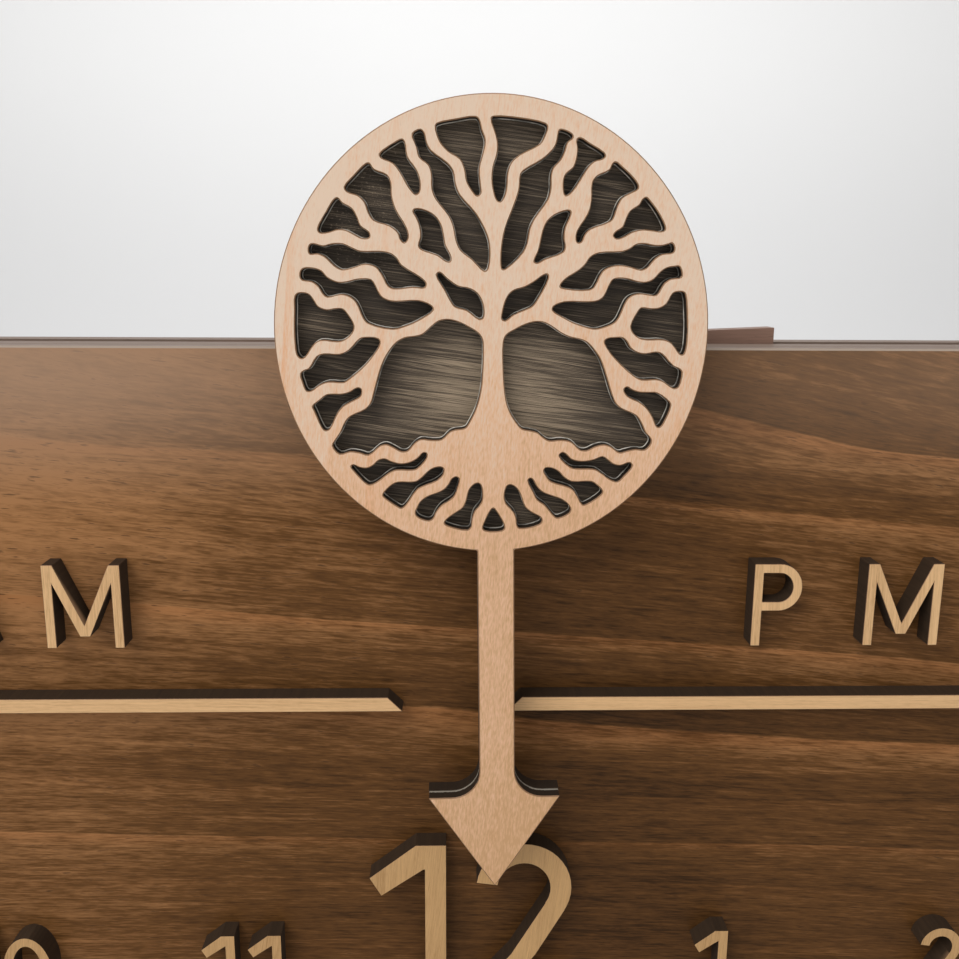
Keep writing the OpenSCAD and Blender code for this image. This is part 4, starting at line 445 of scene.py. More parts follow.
def wood_material(
    name, dark, middle, light, sizes, shares, ior=1.38, rough=0.42, turn=None, zone=None, line_tint=None, haze=None,
    edges=None, char=None, scorch=None, raw=None, glue=None, front=0.0, depth=1.0,
):
    """Wood with its figure along X, or along another way given by turn.

    zone paints light and shade as a change of tone from place to place, the sheen colour greys it as a painted sheen
    and line_tint colours the darkest lines.
    edges are the tones of an eased edge and of the side walls. char burns the walls from front to depth;
    scorch is the line where they meet the face, the unburnt wood tone is painted pale behind the burn as a highlight,
    and glue is painted dark on what lies behind that, a glue line that is also painted shade next to the backing.
    """
    made, tree, shader, place, normal = new_material(name, IOR=ior)
    way = place
    if turn is not None:
        way = put(tree, "ShaderNodeMapping", {"vector_type": "POINT"}, Vector=place, Rotation=turn).outputs[0]
    named_sizes = {field.title(): value for field, value in sizes._asdict().items()}
    grain = put_group(tree, "wood_grain", make_wood_group, Vector=way, **named_sizes)

    # Most bands are hardly seen, and a few strong ones carry the figure
    tone = times(tree, minus(tree, grain["Bands"], 0.35), shares.bands)
    seen = plus(tree, 0.14, times(tree, maths(tree, "POWER", grain["Steps"], 3.0), 1.25))
    tone = times(tree, tone, seen)
    tone = plus(tree, tone, times(tree, minus(tree, grain["Lines"], 0.13), shares.lines))
    for output, amount in (
        ("Steps", shares.steps / 2), ("Streaks", shares.streaks), ("Blotches", shares.blotches),
        ("Flecks", shares.flecks), ("Clouds", shares.clouds),
    ):
        tone = plus(tree, tone, times(tree, minus(tree, grain[output], 0.5), amount * 2))
    # Painted light and shade: a zone paints the tone paler where light falls and darker where shade falls
    if zone is not None:
        tone = plus(tree, tone, zone(tree, place))
    ramp = tree.nodes.new("ShaderNodeValToRGB")
    ramp.color_ramp.elements[0].color = (*dark, 1)
    ramp.color_ramp.elements[1].color = (*light, 1)
    ramp.color_ramp.elements.new(0.5).color = (*middle, 1)
    feed(tree, ramp.inputs[0], plus(tree, tone, 0.5, clamp=True))
    paint = ramp.outputs[0]
    if line_tint is not None:
        mask = between(tree, grain["Bands"], 0.55, 0.95, 0.0, 0.8)
        paint = blend_colours(tree, times(tree, mask, grain["Steps"]), paint, line_tint, "MULTIPLY")
    paint = blend_colours(tree, times(tree, grain["Pores"], shares.pores), paint, toned(dark, 0.45))
    # Painted sheen: the wood is greyed where light glances off the board
    if haze is not None:
        paint = blend_colours(tree, case_sheen_mask(tree, place), paint, haze)

    roughness = light_use(tree, place, normal, size=0.03, rough=rough, spread=0.10, dust=0.05)["Roughness"]
    if char is not None or edges is not None:
        burnt = put_group(
            tree, "laser_char", make_char_group, Vector=place, Normal=normal, Front=front, Depth=depth
        )
    if edges is not None:
        arris, side = edges
        side = blend_colours(tree, grain["Streaks"], toned(side, 0.7), toned(side, 1.3))
        paint = blend_colours(tree, burnt["Scorch"], paint, arris)
        paint = blend_colours(tree, burnt["Wall"], paint, side)
    if char is not None:
        paint = blend_colours(tree, burnt["Scorch"], paint, scorch or char)
        # Painted highlight and shade: the walls behind the burn are painted pale as a highlight, and the band behind
        # them dark as a glue line and as shade next to the backing
        if raw is not None:
            paint = blend_colours(tree, burnt["Wall"], paint, raw)
            paint = blend_colours(tree, burnt["Glue"], paint, glue)
        soot = blend_colours(tree, burnt["Ripple"], char, toned(char, 2.0))
        paint = blend_colours(tree, burnt["Char"], paint, soot)
        roughness = between(tree, burnt["Char"], 0, 1, roughness, 0.85, smooth=False)
    height = minus(tree, times(tree, grain["Streaks"], 0.35), grain["Pores"])
    finish(tree, shader, paint, roughness, height, strength=0.25, distance=0.0001)
    return made


def case_painted_light(tree, place):
    """Painted light and shade: the dial board is painted paler at its upper left and a little at its upper right,
    where the light falls on it, and darker in the middle, where the pointer and the camera in front shade it.
    """
    x, _, z = axes(tree, place)
    left = between(tree, x, 0.05, -0.15)
    right = between(tree, x, 0.05, 0.09)
    middle = between(tree, x, -0.01, 0.03)
    high = between(tree, z, 0.06, 0.19)
    low = minus(tree, 1.0, high)
    tone = times(tree, left, plus(tree, high, 0.20), 0.34)
    tone = plus(tree, tone, between(tree, x, -0.05, -0.12, -0.09, 0.09))
    tone = minus(tree, tone, times(tree, middle, times(tree, plus(tree, low, 1.0), 0.06)))
    lift = minus(
        tree, between(tree, z, 0.070, 0.125, 0.16, 0.205), between(tree, z, 0.15, 0.19, 0.0, 0.16)
    )
    return plus(tree, tone, times(tree, right, lift))


def case_sheen_mask(tree, place):
    """Painted sheen: where the dial board is painted greyer, standing for light glancing off it, near its top edge
    and most of all at its left.
    """
    x, _, z = axes(tree, place)
    high = between(tree, z, 0.162, 0.203)
    left = between(tree, x, 0.02, -0.12, 0.22, 0.72)
    right = between(tree, x, 0.05, 0.16, 0.0, 0.12)
    return times(tree, high, plus(tree, left, right))


def face_painted_light(tree, place):
    """Painted light and shade: the pointer's face is painted creamier towards the top of the disc, nearer the light
    above, and deepest at the arrow head, lower down in less light.
    """
    z = axes(tree, place)[2]
    return plus(tree, between(tree, z, 0.145, 0.24, -0.22, 0.46), between(tree, z, 0.06, 0.13, -0.22, 0.0))


def backing_zone(tree, place):
    """Painted light and shade: the backing is painted paler behind the two large windows and towards the top, where
    more light gets in, nearly black by the rim, and it has pale specks at its upper left.
    """
    trunk_x, windows_z = 0.0022, 0.199
    x, _, z = axes(tree, place)
    near = between(tree, maths(tree, "ABSOLUTE", minus(tree, x, trunk_x)), 0.030, 0.008)
    low = between(tree, maths(tree, "ABSOLUTE", minus(tree, z, windows_z)), 0.022, 0.004)
    high = between(tree, z, 0.235, 0.262, 0.0, 0.14)
    pale = times(tree, near, low, 0.42)
    grains = noise(tree, scaled(tree, place, 0.0007, 0.0007, 0.0005, 4.0), 1.0, 3.0, 0.6)
    # Pale specks at the upper left
    rubbed = times(tree, between(tree, x, -0.010, -0.028), between(tree, z, 0.222, 0.232))
    specks = times(tree, rubbed, between(tree, grains, 0.56, 0.68, 0.0, 0.42))
    return minus(tree, plus(tree, pale, high, specks), 0.14)


def metal_material(name, paint, rough, streak=(0.0004, 0.0004, 0.0004)):
    """Metal with smudges; streak gives the lengths of its brushed or turned marks."""
    made, tree, shader, place, normal = new_material(name, Metallic=1.0)
    use = light_use(tree, place, normal, size=0.006, rough=rough, spread=0.10, dust=0.05)
    marks = noise(tree, scaled(tree, place, *streak), 1.0, 3.0, 0.6)
    shade = blend_colours(tree, marks, toned(paint, 0.80), toned(paint, 1.12))
    shade = blend_colours(tree, use["Dust"], shade, METAL_DUST)
    finish(tree, shader, shade, use["Roughness"], marks, strength=0.18, distance=0.00004)
    return made


def plastic_material(name, paint, rough, layers=0.0, coat=0.0, grit=0.10):
    """Plastic or rubber; layers is the height of a printed layer along Z."""
    made, tree, shader, place, normal = new_material(name, Coat_Weight=coat, IOR=1.5)
    use = light_use(tree, place, normal, size=0.008, rough=rough, spread=0.08, dust=0.12)
    shade = blend_colours(tree, use["Grit"], toned(paint, 0.82), toned(paint, 1.18))
    height = times(tree, use["Grit"], grit)
    if layers:
        wave = maths(tree, "SINE", times(tree, axes(tree, place)[2], 2 * math.pi / layers))
        height = plus(tree, height, times(tree, wave, 0.4))
        shade = blend_colours(tree, between(tree, wave, -1, 1, 0, 0.35), shade, toned(paint, 1.7))
    shade = blend_colours(tree, use["Dust"], shade, DUST)
    finish(tree, shader, shade, use["Roughness"], height, strength=0.30, distance=0.00006)
    return made


def rubber_material(looks):
    """The rubber of the belt and the bumpers, made once."""
    return bpy.data.materials.get("rubber") or plastic_material("rubber", looks.rubber, 0.62, grit=0.25)


def board_material(name, lacquer, track):
    """A circuit board: tracks under green lacquer."""
    made, tree, shader, place, normal = new_material(name, Coat_Weight=0.5, IOR=1.5)
    use = light_use(tree, place, normal, size=0.01, rough=0.34, spread=0.06, dust=0.10)
    space = scaled(tree, place, 0.0023, 0.05, 0.0023, 3.0)
    cells = put(tree, "ShaderNodeTexVoronoi", {"distance": "CHEBYCHEV", "feature": "F1"}, Vector=space, Scale=1.0)
    lines = maths(tree, "PINGPONG", times(tree, cells.outputs["Distance"], 5.0), 1.0)
    mask = between(tree, lines, 0.60, 0.72)
    shade = blend_colours(tree, mask, lacquer, track)
    shade = blend_colours(tree, use["Dust"], shade, DUST)
    finish(tree, shader, shade, use["Roughness"], mask, strength=0.25, distance=0.00004)
    return made


# ---------------------------------------------------------------- mesh helpers

def set_material(piece, made):
    piece.data.materials.clear()
    piece.data.materials.append(made)


def node_body(node):
    return frame["nodes"][node]["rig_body"]


def piece_from(work, name):
    """Turns a finished bmesh into an object of the scene."""
    mesh = bpy.data.meshes.new(name)
    work.to_mesh(mesh)
    work.free()
    piece = bpy.data.objects.new(name, mesh)
    bpy.context.scene.collection.objects.link(piece)
    return piece


def merged_copy(node):
    """A bmesh of a node's mesh with its loose triangles joined."""
    work = bmesh.new()
    work.from_mesh(frame["nodes"][node].data)
    bmesh.ops.remove_doubles(work, verts=work.verts, dist=MERGE_DISTANCE)
    return work


def drop_inner_walls(work):
    """Where two solids of a node meet, takes out the wall between them: the smallest region at the seam."""
    same_size = 1.01
    work.faces.index_update()
    region_of, areas = {}, []
    for start in work.faces:
        if start.index in region_of:
            continue
        region_of[start.index] = len(areas)
        front, area = [start], 0
        while front:
            face = front.pop()
            area += face.calc_area()
            for edge in face.edges:
                for other in edge.link_faces if len(edge.link_faces) == 2 else ():
                    if other.index not in region_of:
                        region_of[other.index] = len(areas)
                        front.append(other)
        areas.append(area)
    walls = set()
    for edge in work.edges:
        if len(edge.link_faces) > 2:
            met = [region_of[face.index] for face in edge.link_faces]
            least = min(areas[region] for region in met)
            walls.update(region for region in met if areas[region] < least * same_size)
    inner = [face for face in work.faces if region_of[face.index] in walls]
    bmesh.ops.delete(work, geom=inner, context="FACES")


def eased_copy(node, name, width, made, segments=2, held=True):
    """A piece in a node's place with its sharp edges eased by width."""
    work = merged_copy(node)
    drop_inner_walls(work)
    bmesh.ops.dissolve_limit(
        work, angle_limit=FLAT_ANGLE, verts=work.verts, edges=work.edges, delimit={"NORMAL"}
    )
    sharp = [e for e in work.edges if len(e.link_faces) == 2 and e.calc_face_angle(0) > SHARP_ANGLE]
    bmesh.ops.bevel(
        work, geom=sharp, offset=width, segments=segments, profile=0.5, affect="EDGES", clamp_overlap=held
    )
    bmesh.ops.triangulate(work, faces=[f for f in work.faces if len(f.verts) > 4])
    piece = piece_from(work, name)
    set_material(piece, made)
    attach(piece, node_body(node))
    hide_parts(node)
    return piece


def paint_nodes(made, *nodes):
    for node in nodes:
        set_material(frame["nodes"][node], made)


# ---------------------------------------------------------------- operators

class CLOCK_OT_stage(Operator):
    """Makes the camera, the pale floor with its curved backdrop and the soft lights"""

    bl_idname = "linear_clock.stage"
    bl_label = "Studio"

    def execute(self, context):
        looks = context.scene.clock_studio
        data = bpy.data.cameras.new("camera")
        camera = bpy.data.objects.new("camera", data)
        context.scene.collection.objects.link(camera)
        context.scene.camera = camera
        data.sensor_width = film = 36.0
        data.lens = film * looks.focal_pixels / looks.picture_pixels
        data.clip_start = 0.01
        data.clip_end = 50.0
        ahead = Vector((
            math.sin(looks.yaw) * math.cos(looks.pitch), math.cos(looks.yaw) * math.cos(looks.pitch),
            -math.sin(looks.pitch),
        ))
        right = Vector((math.cos(looks.yaw), -math.sin(looks.yaw), 0))
        up = right.cross(ahead)
        side = math.cos(looks.roll) * right + math.sin(looks.roll) * up
        top = -math.sin(looks.roll) * right + math.cos(looks.roll) * up
        turn = Matrix((side, top, -ahead)).transposed().to_4x4()
        camera.matrix_world = Matrix.Translation(looks.camera_place) @ turn

        self.backdrop(looks)
        clock = (0.0, 0.0, 0.12)
        self.area("key", (-1.1, -1.5, 1.9), clock, 1.6, looks.key * 10)
        self.area("fill", (0.9, -2.0, 0.8), clock, 2.0, looks.fill * 10)
        self.area("wash", (0.0, 0.6, 2.8), (0.0, 3.2, 1.5), 2.4, looks.wash)
        world = bpy.data.worlds.new("sky")
        context.scene.world = world
        context.scene.view_settings.view_transform = "Standard"
        world.use_nodes = True
        air = world.node_tree.nodes["Background"]
        air.inputs[0].default_value = (1.0, 0.985, 0.96, 1)
        seen = world.node_tree.nodes.new("ShaderNodeLightPath").outputs["Is Camera Ray"]
        strength = between(world.node_tree, seen, 0, 1, looks.sky, looks.paper[0])
        world.node_tree.links.new(strength, air.inputs[1])
        return {"FINISHED"}

    def backdrop(self, looks):
        """A floor that curves up into a wall, as one sheet."""
        near, far, high, bend, half, steps = -4.6, 3.2, 4.0, 1.2, 5.0, 24
        line = [(near, 0.0), (far - bend, 0.0)]
        for step in range(1, steps + 1):
            angle = math.pi / 2 * step / steps
            line.append((far - bend + bend * math.sin(angle), bend - bend * math.cos(angle)))
        line.append((far, high))
        work = bmesh.new()
        rows = [[work.verts.new((x, y, z)) for y, z in line] for x in (-half, half)]
        for a, b, c, d in zip(rows[0], rows[0][1:], rows[1][1:], rows[1]):
            work.faces.new((d, c, b, a)).smooth = True
        piece = piece_from(work, "backdrop")
        made, tree, shader, place, _ = new_material("paper", Roughness=0.9)
        _, y, z = axes(tree, place)
        cloud = noise(tree, scaled(tree, place, 0.5, 0.5, 0.5), 1.0, 2.0, 0.5)
        shade = blend_colours(tree, cloud, toned(looks.paper, 0.985), looks.paper)
        # Painted shade: the floor is painted darker, fading into the wall colour up to a metre high
        low = between(tree, z, 0.0, 1.0, 1.0, 0.0)
        feed(tree, shader.inputs["Base Color"], blend_colours(tree, low, shade, looks.floor))
        # Painted light: the floor far in front of the clock glows, so that it does not turn dark where the lamps do
        # not reach
        away = put(tree, "ShaderNodeVectorMath", {"operation": "LENGTH"}, i0=place).outputs["Value"]
        glow = times(tree, between(tree, away, 1.2, 4.2, 0.0, looks.glow), between(tree, y, 1.8, 0.4))
        feed(tree, shader.inputs["Emission Color"], blend_colours(tree, glow, (0, 0, 0), (1, 1, 1)))
        shader.inputs["Emission Strength"].default_value = 1.0
        set_material(piece, made)

    def area(self, name, place, aim, size, power):
        data = bpy.data.lights.new(name, "AREA")
        data.size = size
        data.energy = power
        light = bpy.data.objects.new(name, data)
        light.location = place
        light.visible_camera = False
        light.rotation_euler = (Vector(aim) - Vector(place)).to_track_quat("-Z", "Y").to_euler()
        bpy.context.scene.collection.objects.link(light)


class CLOCK_OT_case(Operator):
    """Makes the walnut case: dial board, rails, ends and back with eased edges"""

    bl_idname = "linear_clock.case"
    bl_label = "Case"

    def execute(self, context):
        w = context.scene.clock_walnut
        offset = w.figure_start - (w.main_line - w.spread * w.main_line ** 2) / w.figure_height
        face = wood_material(
            "walnut_face", w.dark, w.middle, w.light,
            Grain(
                seed=3.7, band_height=w.figure_height, band_length=w.figure_length, waviness=0.38,
                fleck_length=0.0045, fleck_width=0.0003, slant=w.slant, fan=w.fan, bow=w.bow, spread=w.spread,
                offset=offset,
            ),
            Shares(
                bands=0.54, steps=0.10, lines=0.14, streaks=0.27, blotches=0.31, flecks=0.42, pores=0.66,
                clouds=0.26,
            ),
            # Painted light and shade on the dial board, and a painted sheen near its top edge
            ior=1.22, rough=0.5, haze=w.haze, zone=case_painted_light, line_tint=(1.0, 0.88, 0.78),
            edges=(w.arris_tone, w.band),
        )
        edge = wood_material(
            "walnut_edge", toned(w.band, 0.62), w.band, toned(w.band, 1.25),
            Grain(
                seed=9.1, band_height=0.006, band_length=0.2, waviness=0.8, fleck_length=0.006,
                fleck_width=0.0004,
            ),
            Shares(
                bands=0.2, steps=0.15, lines=0.1, streaks=0.35, blotches=0.1, flecks=0.15, pores=0.3, clouds=0.3
            ),
            ior=1.25, rough=0.55,
        )
        plain = Shares(
            bands=0.34, steps=0.16, lines=0.2, streaks=0.34, blotches=0.25, flecks=0.2, pores=0.45, clouds=0.25
        )
        upright = wood_material(
            "walnut_end", w.dark, w.middle, w.light,
            Grain(
                seed=5.2, band_height=0.009, band_length=0.12, waviness=1.0, fleck_length=0.006,
                fleck_width=0.0004,
            ),
            plain, turn=(0, math.pi / 2, 0), rough=0.45,
        )
        eased_copy("front_board", "dial_board_skin", w.arris, face, segments=1)
        eased_copy("top_rail", "top_rail_skin", w.arris, edge)
        eased_copy("rear_top_rail", "rear_top_rail_skin", w.arris, edge)
        eased_copy("left_end_cap", "left_end_skin", w.arris, upright)
        eased_copy("right_end_cap", "right_end_skin", w.arris, upright)
        paint_nodes(edge, "bottom_rail", "hatch_cleats")
        back = wood_material(
            "walnut_back", w.dark, w.middle, w.light,
            Grain(
                seed=12.4, band_height=0.015, band_length=0.22, waviness=1.3, fleck_length=0.006,
                fleck_width=0.0004, slant=-0.01, fan=0.1, spread=0.8,
            ),
            plain._replace(clouds=0.30), rough=0.5,
        )
        paint_nodes(back, "back_panel")
        return {"FINISHED"}


class CLOCK_OT_dial(Operator):
    """Makes the raised maple numerals, labels and dividers with burnt edges"""

    bl_idname = "linear_clock.dial"
    bl_label = "Dial"

    def execute(self, context):
        m = context.scene.clock_maple

        def maple(name, tone, seed, turn=None):
            dark = [part * share for part, share in zip(tone, (0.72, 0.66, 0.58))]
            return wood_material(
                name, dark, tone, toned(tone, 1.16),
                Grain(
                    seed=seed, band_height=0.0034, band_length=0.06, waviness=0.7, fleck_length=0.0024,
                    fleck_width=0.0003, slant=0.02,
                ),
                Shares(
                    bands=0.20, steps=0.20, lines=0.2, streaks=0.70, blotches=0.20, flecks=0.34, pores=0.12,
                    clouds=0.30,
                ),
                rough=0.5, turn=turn, char=m.char, front=NUMERAL_FRONT, scorch=m.scorch,
            )

        numeral = maple("maple_numeral", m.numeral, 21.0, turn=(0, math.radians(86), 0))
        label = maple("maple_label", m.label, 33.0, turn=(0, math.radians(92), 0))
        strip = maple("maple_strip", m.label, 41.0)
        for made, nodes in (
            (numeral, ("numeral_noon", "numerals_morning", "numerals_afternoon")),
            (label, ("label_am", "label_pm")),
            (strip, ("divider_left", "divider_right")),
        ):
            for node in nodes:
                eased_copy(node, node + "_skin", m.edge, made, segments=1)
        return {"FINISHED"}


class CLOCK_OT_pointer(Operator):
    """Finishes the pierced face and the dark backing of the pointer"""

    bl_idname = "linear_clock.pointer"
    bl_label = "Pointer"

    def execute(self, context):
        m = context.scene.clock_maple
        soot = toned(m.char, 0.6)
        face = wood_material(
            "maple_face", [part * share for part, share in zip(m.face, (0.75, 0.71, 0.57))], m.face, m.cream,
            Grain(
                seed=2.3, band_height=0.014, band_length=0.12, waviness=0.8, fleck_length=0.0017,
                fleck_width=0.00034,
            ),
            Shares(
                bands=-0.20, steps=0.10, lines=0.0, streaks=0.22, blotches=0.16, flecks=0.62, pores=0.06,
                clouds=0.5,
            ),
            # Painted light and shade on the face: paler high on the disc, darker at the arrow head
            turn=(0, math.radians(84), 0), rough=0.5, zone=face_painted_light, line_tint=(1.0, 0.86, 0.76),
            # The pointer's walls get a painted highlight behind the burn and painted shade by the backing
            char=soot, scorch=m.scorch, raw=m.raw, glue=soot, front=FACE_FRONT, depth=m.char_depth,
        )
        backing = wood_material(
            "dark_backing", toned(m.backing, 0.40), m.backing, m.backing_streak,
            Grain(
                seed=6.6, band_height=0.0020, band_length=0.08, waviness=0.32, fleck_length=0.010,
                fleck_width=0.00022, slant=0.13,
            ),
            Shares(
                bands=0.14, steps=0.12, lines=0.2, streaks=0.88, blotches=0.20, flecks=0.60, pores=0.40,
                clouds=0.25,
            ),
            # Painted light and shade on the backing
            rough=0.6, zone=backing_zone, char=soot, front=BACKING_FRONT,
        )
        eased_copy("pointer_face", "pointer_face_skin", m.burn, face, segments=1, held=False)
        paint_nodes(backing, "pointer_backing")
        self.glue_seam(m)
        return {"FINISHED"}

    def window_loops(self, node, foot):
        """The outline of each window at its foot, as points with the wall's direction into the window."""
        work = merged_copy(node)
        after = {}
        for wall in (f for f in work.faces if abs(f.normal.y) < 0.3):
            for corner in wall.loops:
                first, second = corner.vert, corner.link_loop_next.vert
                if max(abs(first.co.y - foot), abs(second.co.y - foot)) < 1e-6:
                    after[first.index] = (second.index, first.co.copy(), wall.normal.copy())
        work.free()
        loops = []
        while after:
            start = here = min(after)
            loop = []
            while here in after:
                step, place, way = after.pop(here)
                loop.append((place, way))
                here = step
            if here == start and len(loop) > 2:
                loops.append(loop)

        def rise(loop):
            heights = [place.z for place, way in loop]
            return max(heights) - min(heights)

        # The tallest loop is the pointer's own outline
        return sorted(loops, key=rise)[:-1]

    def glue_seam(self, m):
        """A thin ridge of glue round the walls of each window, a little in front of the backing."""
        sunk = m.seam / 3
        middle = m.seam_gap + m.seam_height / 3
        section = ((-sunk, m.seam_gap + m.seam_height), (m.seam, middle), (-sunk, m.seam_gap))
        work = bmesh.new()
        for loop in self.window_loops("pointer_face", FACE_FOOT):
            rings = []
            for (place, way), (_, before) in zip(loop, loop[-1:] + loop[:-1]):
                out = way + before
                out.normalize()
                rings.append([
                    work.verts.new((place.x + out.x * away, FACE_FOOT - rise, place.z + out.z * away))
                    for away, rise in section
                ])
            for first, second in zip(rings, rings[1:] + rings[:1]):
                for index in range(len(section)):
                    other = (index + 1) % len(section)
                    work.faces.new((first[index], second[index], second[other], first[other])).smooth = True
        bmesh.ops.recalc_face_normals(work, faces=work.faces)
        piece = piece_from(work, "glue_seam")
        made, tree, shader, place, _ = new_material("dried_glue", IOR=1.45)
        cloud = noise(tree, scaled(tree, place, 0.004, 0.004, 0.004, 2.0), 1.0, 3.0, 0.6)
        patches = between(tree, cloud, 0.38, 0.56)
        shade = blend_colours(tree, patches, toned(m.seam_tone, 0.35), m.seam_tone)
        finish(tree, shader, shade, between(tree, cloud, 0.3, 0.7, 0.28, 0.5), cloud, strength=0.2, distance=0.00005)
        set_material(piece, made)
        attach(piece, node_body("pointer_face"))


class CLOCK_OT_carriage(Operator):
    """Finishes the slider plate, the arm, the bearing block and the clamp"""

    bl_idname = "linear_clock.carriage"
    bl_label = "Carriage"

    def execute(self, context):
        w = context.scene.clock_walnut
        f = context.scene.clock_fittings
        plate = wood_material(
            "walnut_plate", toned(w.plate, 0.7), w.plate, toned(w.plate, 1.25),
            Grain(
                seed=15.0, band_height=0.006, band_length=0.1, waviness=0.8, fleck_length=0.005,
                fleck_width=0.0004, slant=0.02,
            ),
            Shares(
                bands=0.2, steps=0.15, lines=0.1, streaks=0.35, blotches=0.1, flecks=0.2, pores=0.4, clouds=0.3
            ),
            rough=0.5,
        )
        eased_copy("slider_plate", "slider_plate_skin", w.arris, plate)
        eased_copy("pointer_arm", "pointer_arm_skin", w.arris, plate)
        printed = plastic_material("printed_plastic", f.printed, 0.5, layers=f.layer)
        paint_nodes(printed, "bearing_block", "belt_clamp", "left_rod_block", "right_rod_block")
        return {"FINISHED"}


class CLOCK_OT_belt(Operator):
    """Makes the toothed belt: a thin band with teeth on its inner side"""

    bl_idname = "linear_clock.belt"
    bl_label = "Belt"

    def execute(self, context):
        f = context.scene.clock_fittings
        low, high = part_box("drive_belt")
        outer = (high.y - low.y) / 2
        middle = (low + high) / 2
        ends = (high.x - low.x) / 2 - outer
        tree = self.build_tree()
        host = bpy.data.objects.new("toothed_belt", bpy.data.meshes.new("toothed_belt"))
        context.scene.collection.objects.link(host)
        modifier = host.modifiers.new("belt", "NODES")
        modifier.node_group = tree
        values = {
            "Half Span": ends, "Radius": outer, "Width": high.z - low.z, "Thickness": f.band_thickness,
            "Tooth Pitch": f.tooth_pitch, "Tooth Height": f.tooth_height, "Tooth Width": f.tooth_width,
            "Place": middle, "Material": rubber_material(f),
        }
        for item in tree.interface.items_tree:
            if item.item_type == "SOCKET" and item.in_out == "INPUT" and item.name in values:
                value = values[item.name]
                modifier[item.identifier] = tuple(value) if isinstance(value, Vector) else value
        context.view_layer.update()
        graph = context.evaluated_depsgraph_get()
        mesh = bpy.data.meshes.new_from_object(host.evaluated_get(graph))
        host.modifiers.clear()
        host.data = mesh
        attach(host, "case")
        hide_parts("drive_belt")
        return {"FINISHED"}

    def build_tree(self):
        tree = bpy.data.node_groups.new("belt_teeth", "GeometryNodeTree")
        for name, default in (
            ("Half Span", 0.4), ("Radius", 0.007), ("Width", 0.006), ("Thickness", 0.0006),
            ("Tooth Pitch", 0.002), ("Tooth Height", 0.00075), ("Tooth Width", 0.0011),
        ):
            socket = tree.interface.new_socket(name=name, in_out="INPUT", socket_type="NodeSocketFloat")
            socket.default_value = default
        tree.interface.new_socket(name="Place", in_out="INPUT", socket_type="NodeSocketVector")
        tree.interface.new_socket(name="Material", in_out="INPUT", socket_type="NodeSocketMaterial")
        tree.interface.new_socket(name="Geometry", in_out="OUTPUT", socket_type="NodeSocketGeometry")
        start = tree.nodes.new("NodeGroupInput")
        end = tree.nodes.new("NodeGroupOutput")

        def add(kind, settings=None, **inputs):
            return put(tree, kind, settings, **inputs)

        size = start.outputs
        thick = size["Thickness"]
        corner_points = 12
        mid_radius = minus(tree, size["Radius"], times(tree, thick, 0.5))
        tooth_middle = plus(tree, thick, times(tree, size["Tooth Height"], 0.5))
        tooth_radius = minus(tree, size["Radius"], tooth_middle)

        def loop(radius):
            """A long loop round both pulleys, as a filleted line between four corners."""
            across = times(tree, radius, 2.0)
            box = add(
                "GeometryNodeCurvePrimitiveQuadrilateral", {"mode": "RECTANGLE"},
                Width=plus(tree, times(tree, size["Half Span"], 2.0), across), Height=across,
            )
            fillet = add(
                "GeometryNodeFilletCurve", {"mode": "POLY"}, Count=corner_points, Curve=box.outputs[0],
                Radius=times(tree, radius, 0.9999),
            )
            return fillet.outputs[0]

        section = add(
            "GeometryNodeCurvePrimitiveQuadrilateral", {"mode": "RECTANGLE"}, Width=thick, Height=size["Width"]
        )
        band = add("GeometryNodeCurveToMesh", Curve=loop(mid_radius), Profile_Curve=section.outputs[0])
        points = add(
            "GeometryNodeCurveToPoints", {"mode": "LENGTH"}, Curve=loop(tooth_radius), Length=size["Tooth Pitch"]
        )
        form = add("ShaderNodeCombineXYZ", i0=size["Tooth Height"], i1=size["Tooth Width"], i2=size["Width"])
        tooth = add("GeometryNodeMeshCube", Size=form.outputs[0])
        along = add(
            "FunctionNodeAlignRotationToVector", {"axis": "Y", "pivot_axis": "Z"}, Vector=points.outputs["Tangent"]
        )
        teeth = add(
            "GeometryNodeInstanceOnPoints", Points=points.outputs["Points"], Instance=tooth.outputs[0],
            Rotation=along.outputs[0],
        )
        joined = add("GeometryNodeJoinGeometry")
        tree.links.new(band.outputs[0], joined.inputs[0])
        tree.links.new(teeth.outputs[0], joined.inputs[0])
        placed = add("GeometryNodeTransform", Geometry=joined.outputs[0], Translation=size["Place"])
        real = add("GeometryNodeRealizeInstances", i0=placed.outputs[0])
        dressed = add("GeometryNodeSetMaterial", Geometry=real.outputs[0], Material=size["Material"])
        tree.links.new(dressed.outputs[0], end.inputs[0])
        return tree


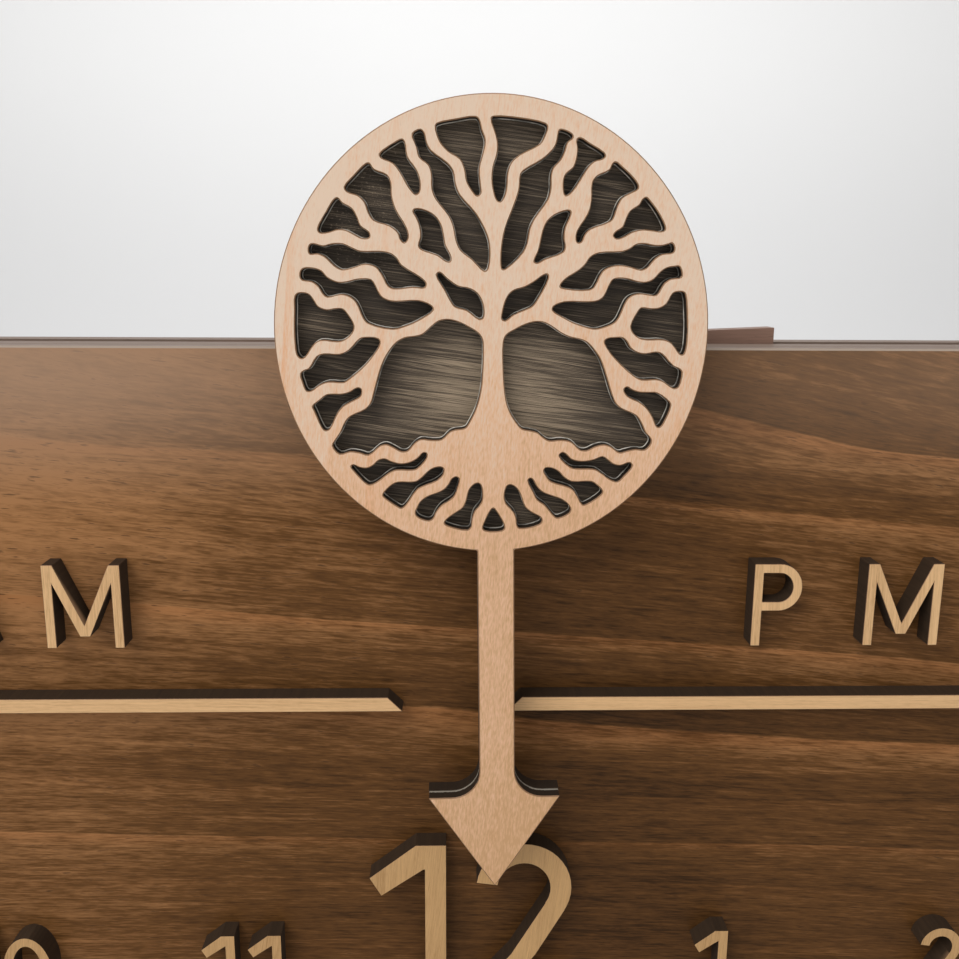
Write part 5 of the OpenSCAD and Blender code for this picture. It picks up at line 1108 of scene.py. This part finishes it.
class CLOCK_OT_fittings(Operator):
    """Finishes the metal, plastic, rubber and circuit board pieces"""

    bl_idname = "linear_clock.fittings"
    bl_label = "Fittings"

    def execute(self, context):
        f = context.scene.clock_fittings
        paint_nodes(
            metal_material("zinc", f.zinc, 0.38), "back_screws", "hanger_plates", "hanger_screws", "hatch_screws",
            "jack_nut", "button_bodies", "board_screws", "rod_block_screws", "motor_bracket", "motor_body",
            "motor_screws", "bracket_screws", "pulley_set_screw", "idler_bracket", "idler_axle",
            "plate_screws", "belt_clamp_screws", "arm_screws",
        )
        paint_nodes(
            metal_material("ground_steel", f.rod, 0.20, streak=(0.0002, 0.002, 0.002)),
            "rod_upper", "rod_lower", "motor_shaft", "idler_bearings", "linear_bearings",
        )
        paint_nodes(
            metal_material("aluminium", f.alloy, 0.30, streak=(0.003, 0.003, 0.00015)),
            "drive_pulley", "idler_pulley",
        )
        paint_nodes(metal_material("brass", f.brass, 0.28, streak=(0.002, 0.0002, 0.002)), "board_standoffs")
        paint_nodes(
            plastic_material("black_plastic", f.black, 0.45), "service_hatch", "power_jack", "back_button",
            "motor_cable",
        )
        paint_nodes(plastic_material("white_plastic", f.white, 0.35, grit=0.05), "cable_clips")
        paint_nodes(plastic_material("red_plastic", f.red, 0.28, coat=0.4, grit=0.04), "forward_button")
        paint_nodes(rubber_material(f), "wall_bumpers")
        paint_nodes(board_material("circuit_board", f.board, f.trace), "control_board", "driver_board", "home_sensor")
        return {"FINISHED"}


class CLOCK_PT_looks(Panel):
    """Lists the steps that dress the clock"""

    bl_idname = "CLOCK_PT_looks"
    bl_label = "Linear Clock"
    bl_space_type = "VIEW_3D"
    bl_region_type = "UI"
    bl_category = "Linear Clock"

    def draw(self, context):
        for step in STEPS:
            self.layout.operator(step.bl_idname)
        for name in LOOKS:
            looks = getattr(context.scene, name)
            box = self.layout.box()
            for key in looks.__annotations__:
                box.prop(looks, key)


LOOKS = {
    "clock_walnut": WalnutLooks, "clock_maple": MapleLooks,
    "clock_fittings": FittingLooks, "clock_studio": StudioLooks,
}
STEPS = (
    CLOCK_OT_stage, CLOCK_OT_case, CLOCK_OT_dial, CLOCK_OT_pointer, CLOCK_OT_carriage, CLOCK_OT_belt,
    CLOCK_OT_fittings,
)
CLASSES = (*LOOKS.values(), *STEPS, CLOCK_PT_looks)


def register():
    for made in CLASSES:
        bpy.utils.register_class(made)
    for name, kind in LOOKS.items():
        setattr(bpy.types.Scene, name, PointerProperty(type=kind))


def unregister():
    for name in LOOKS:
        delattr(bpy.types.Scene, name)
    for made in reversed(CLASSES):
        bpy.utils.unregister_class(made)


def main():
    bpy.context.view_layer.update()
    register()
    for step in STEPS:
        group, name = step.bl_idname.split(".")
        getattr(getattr(bpy.ops, group), name)()


if __name__ == "__main__":
    main()
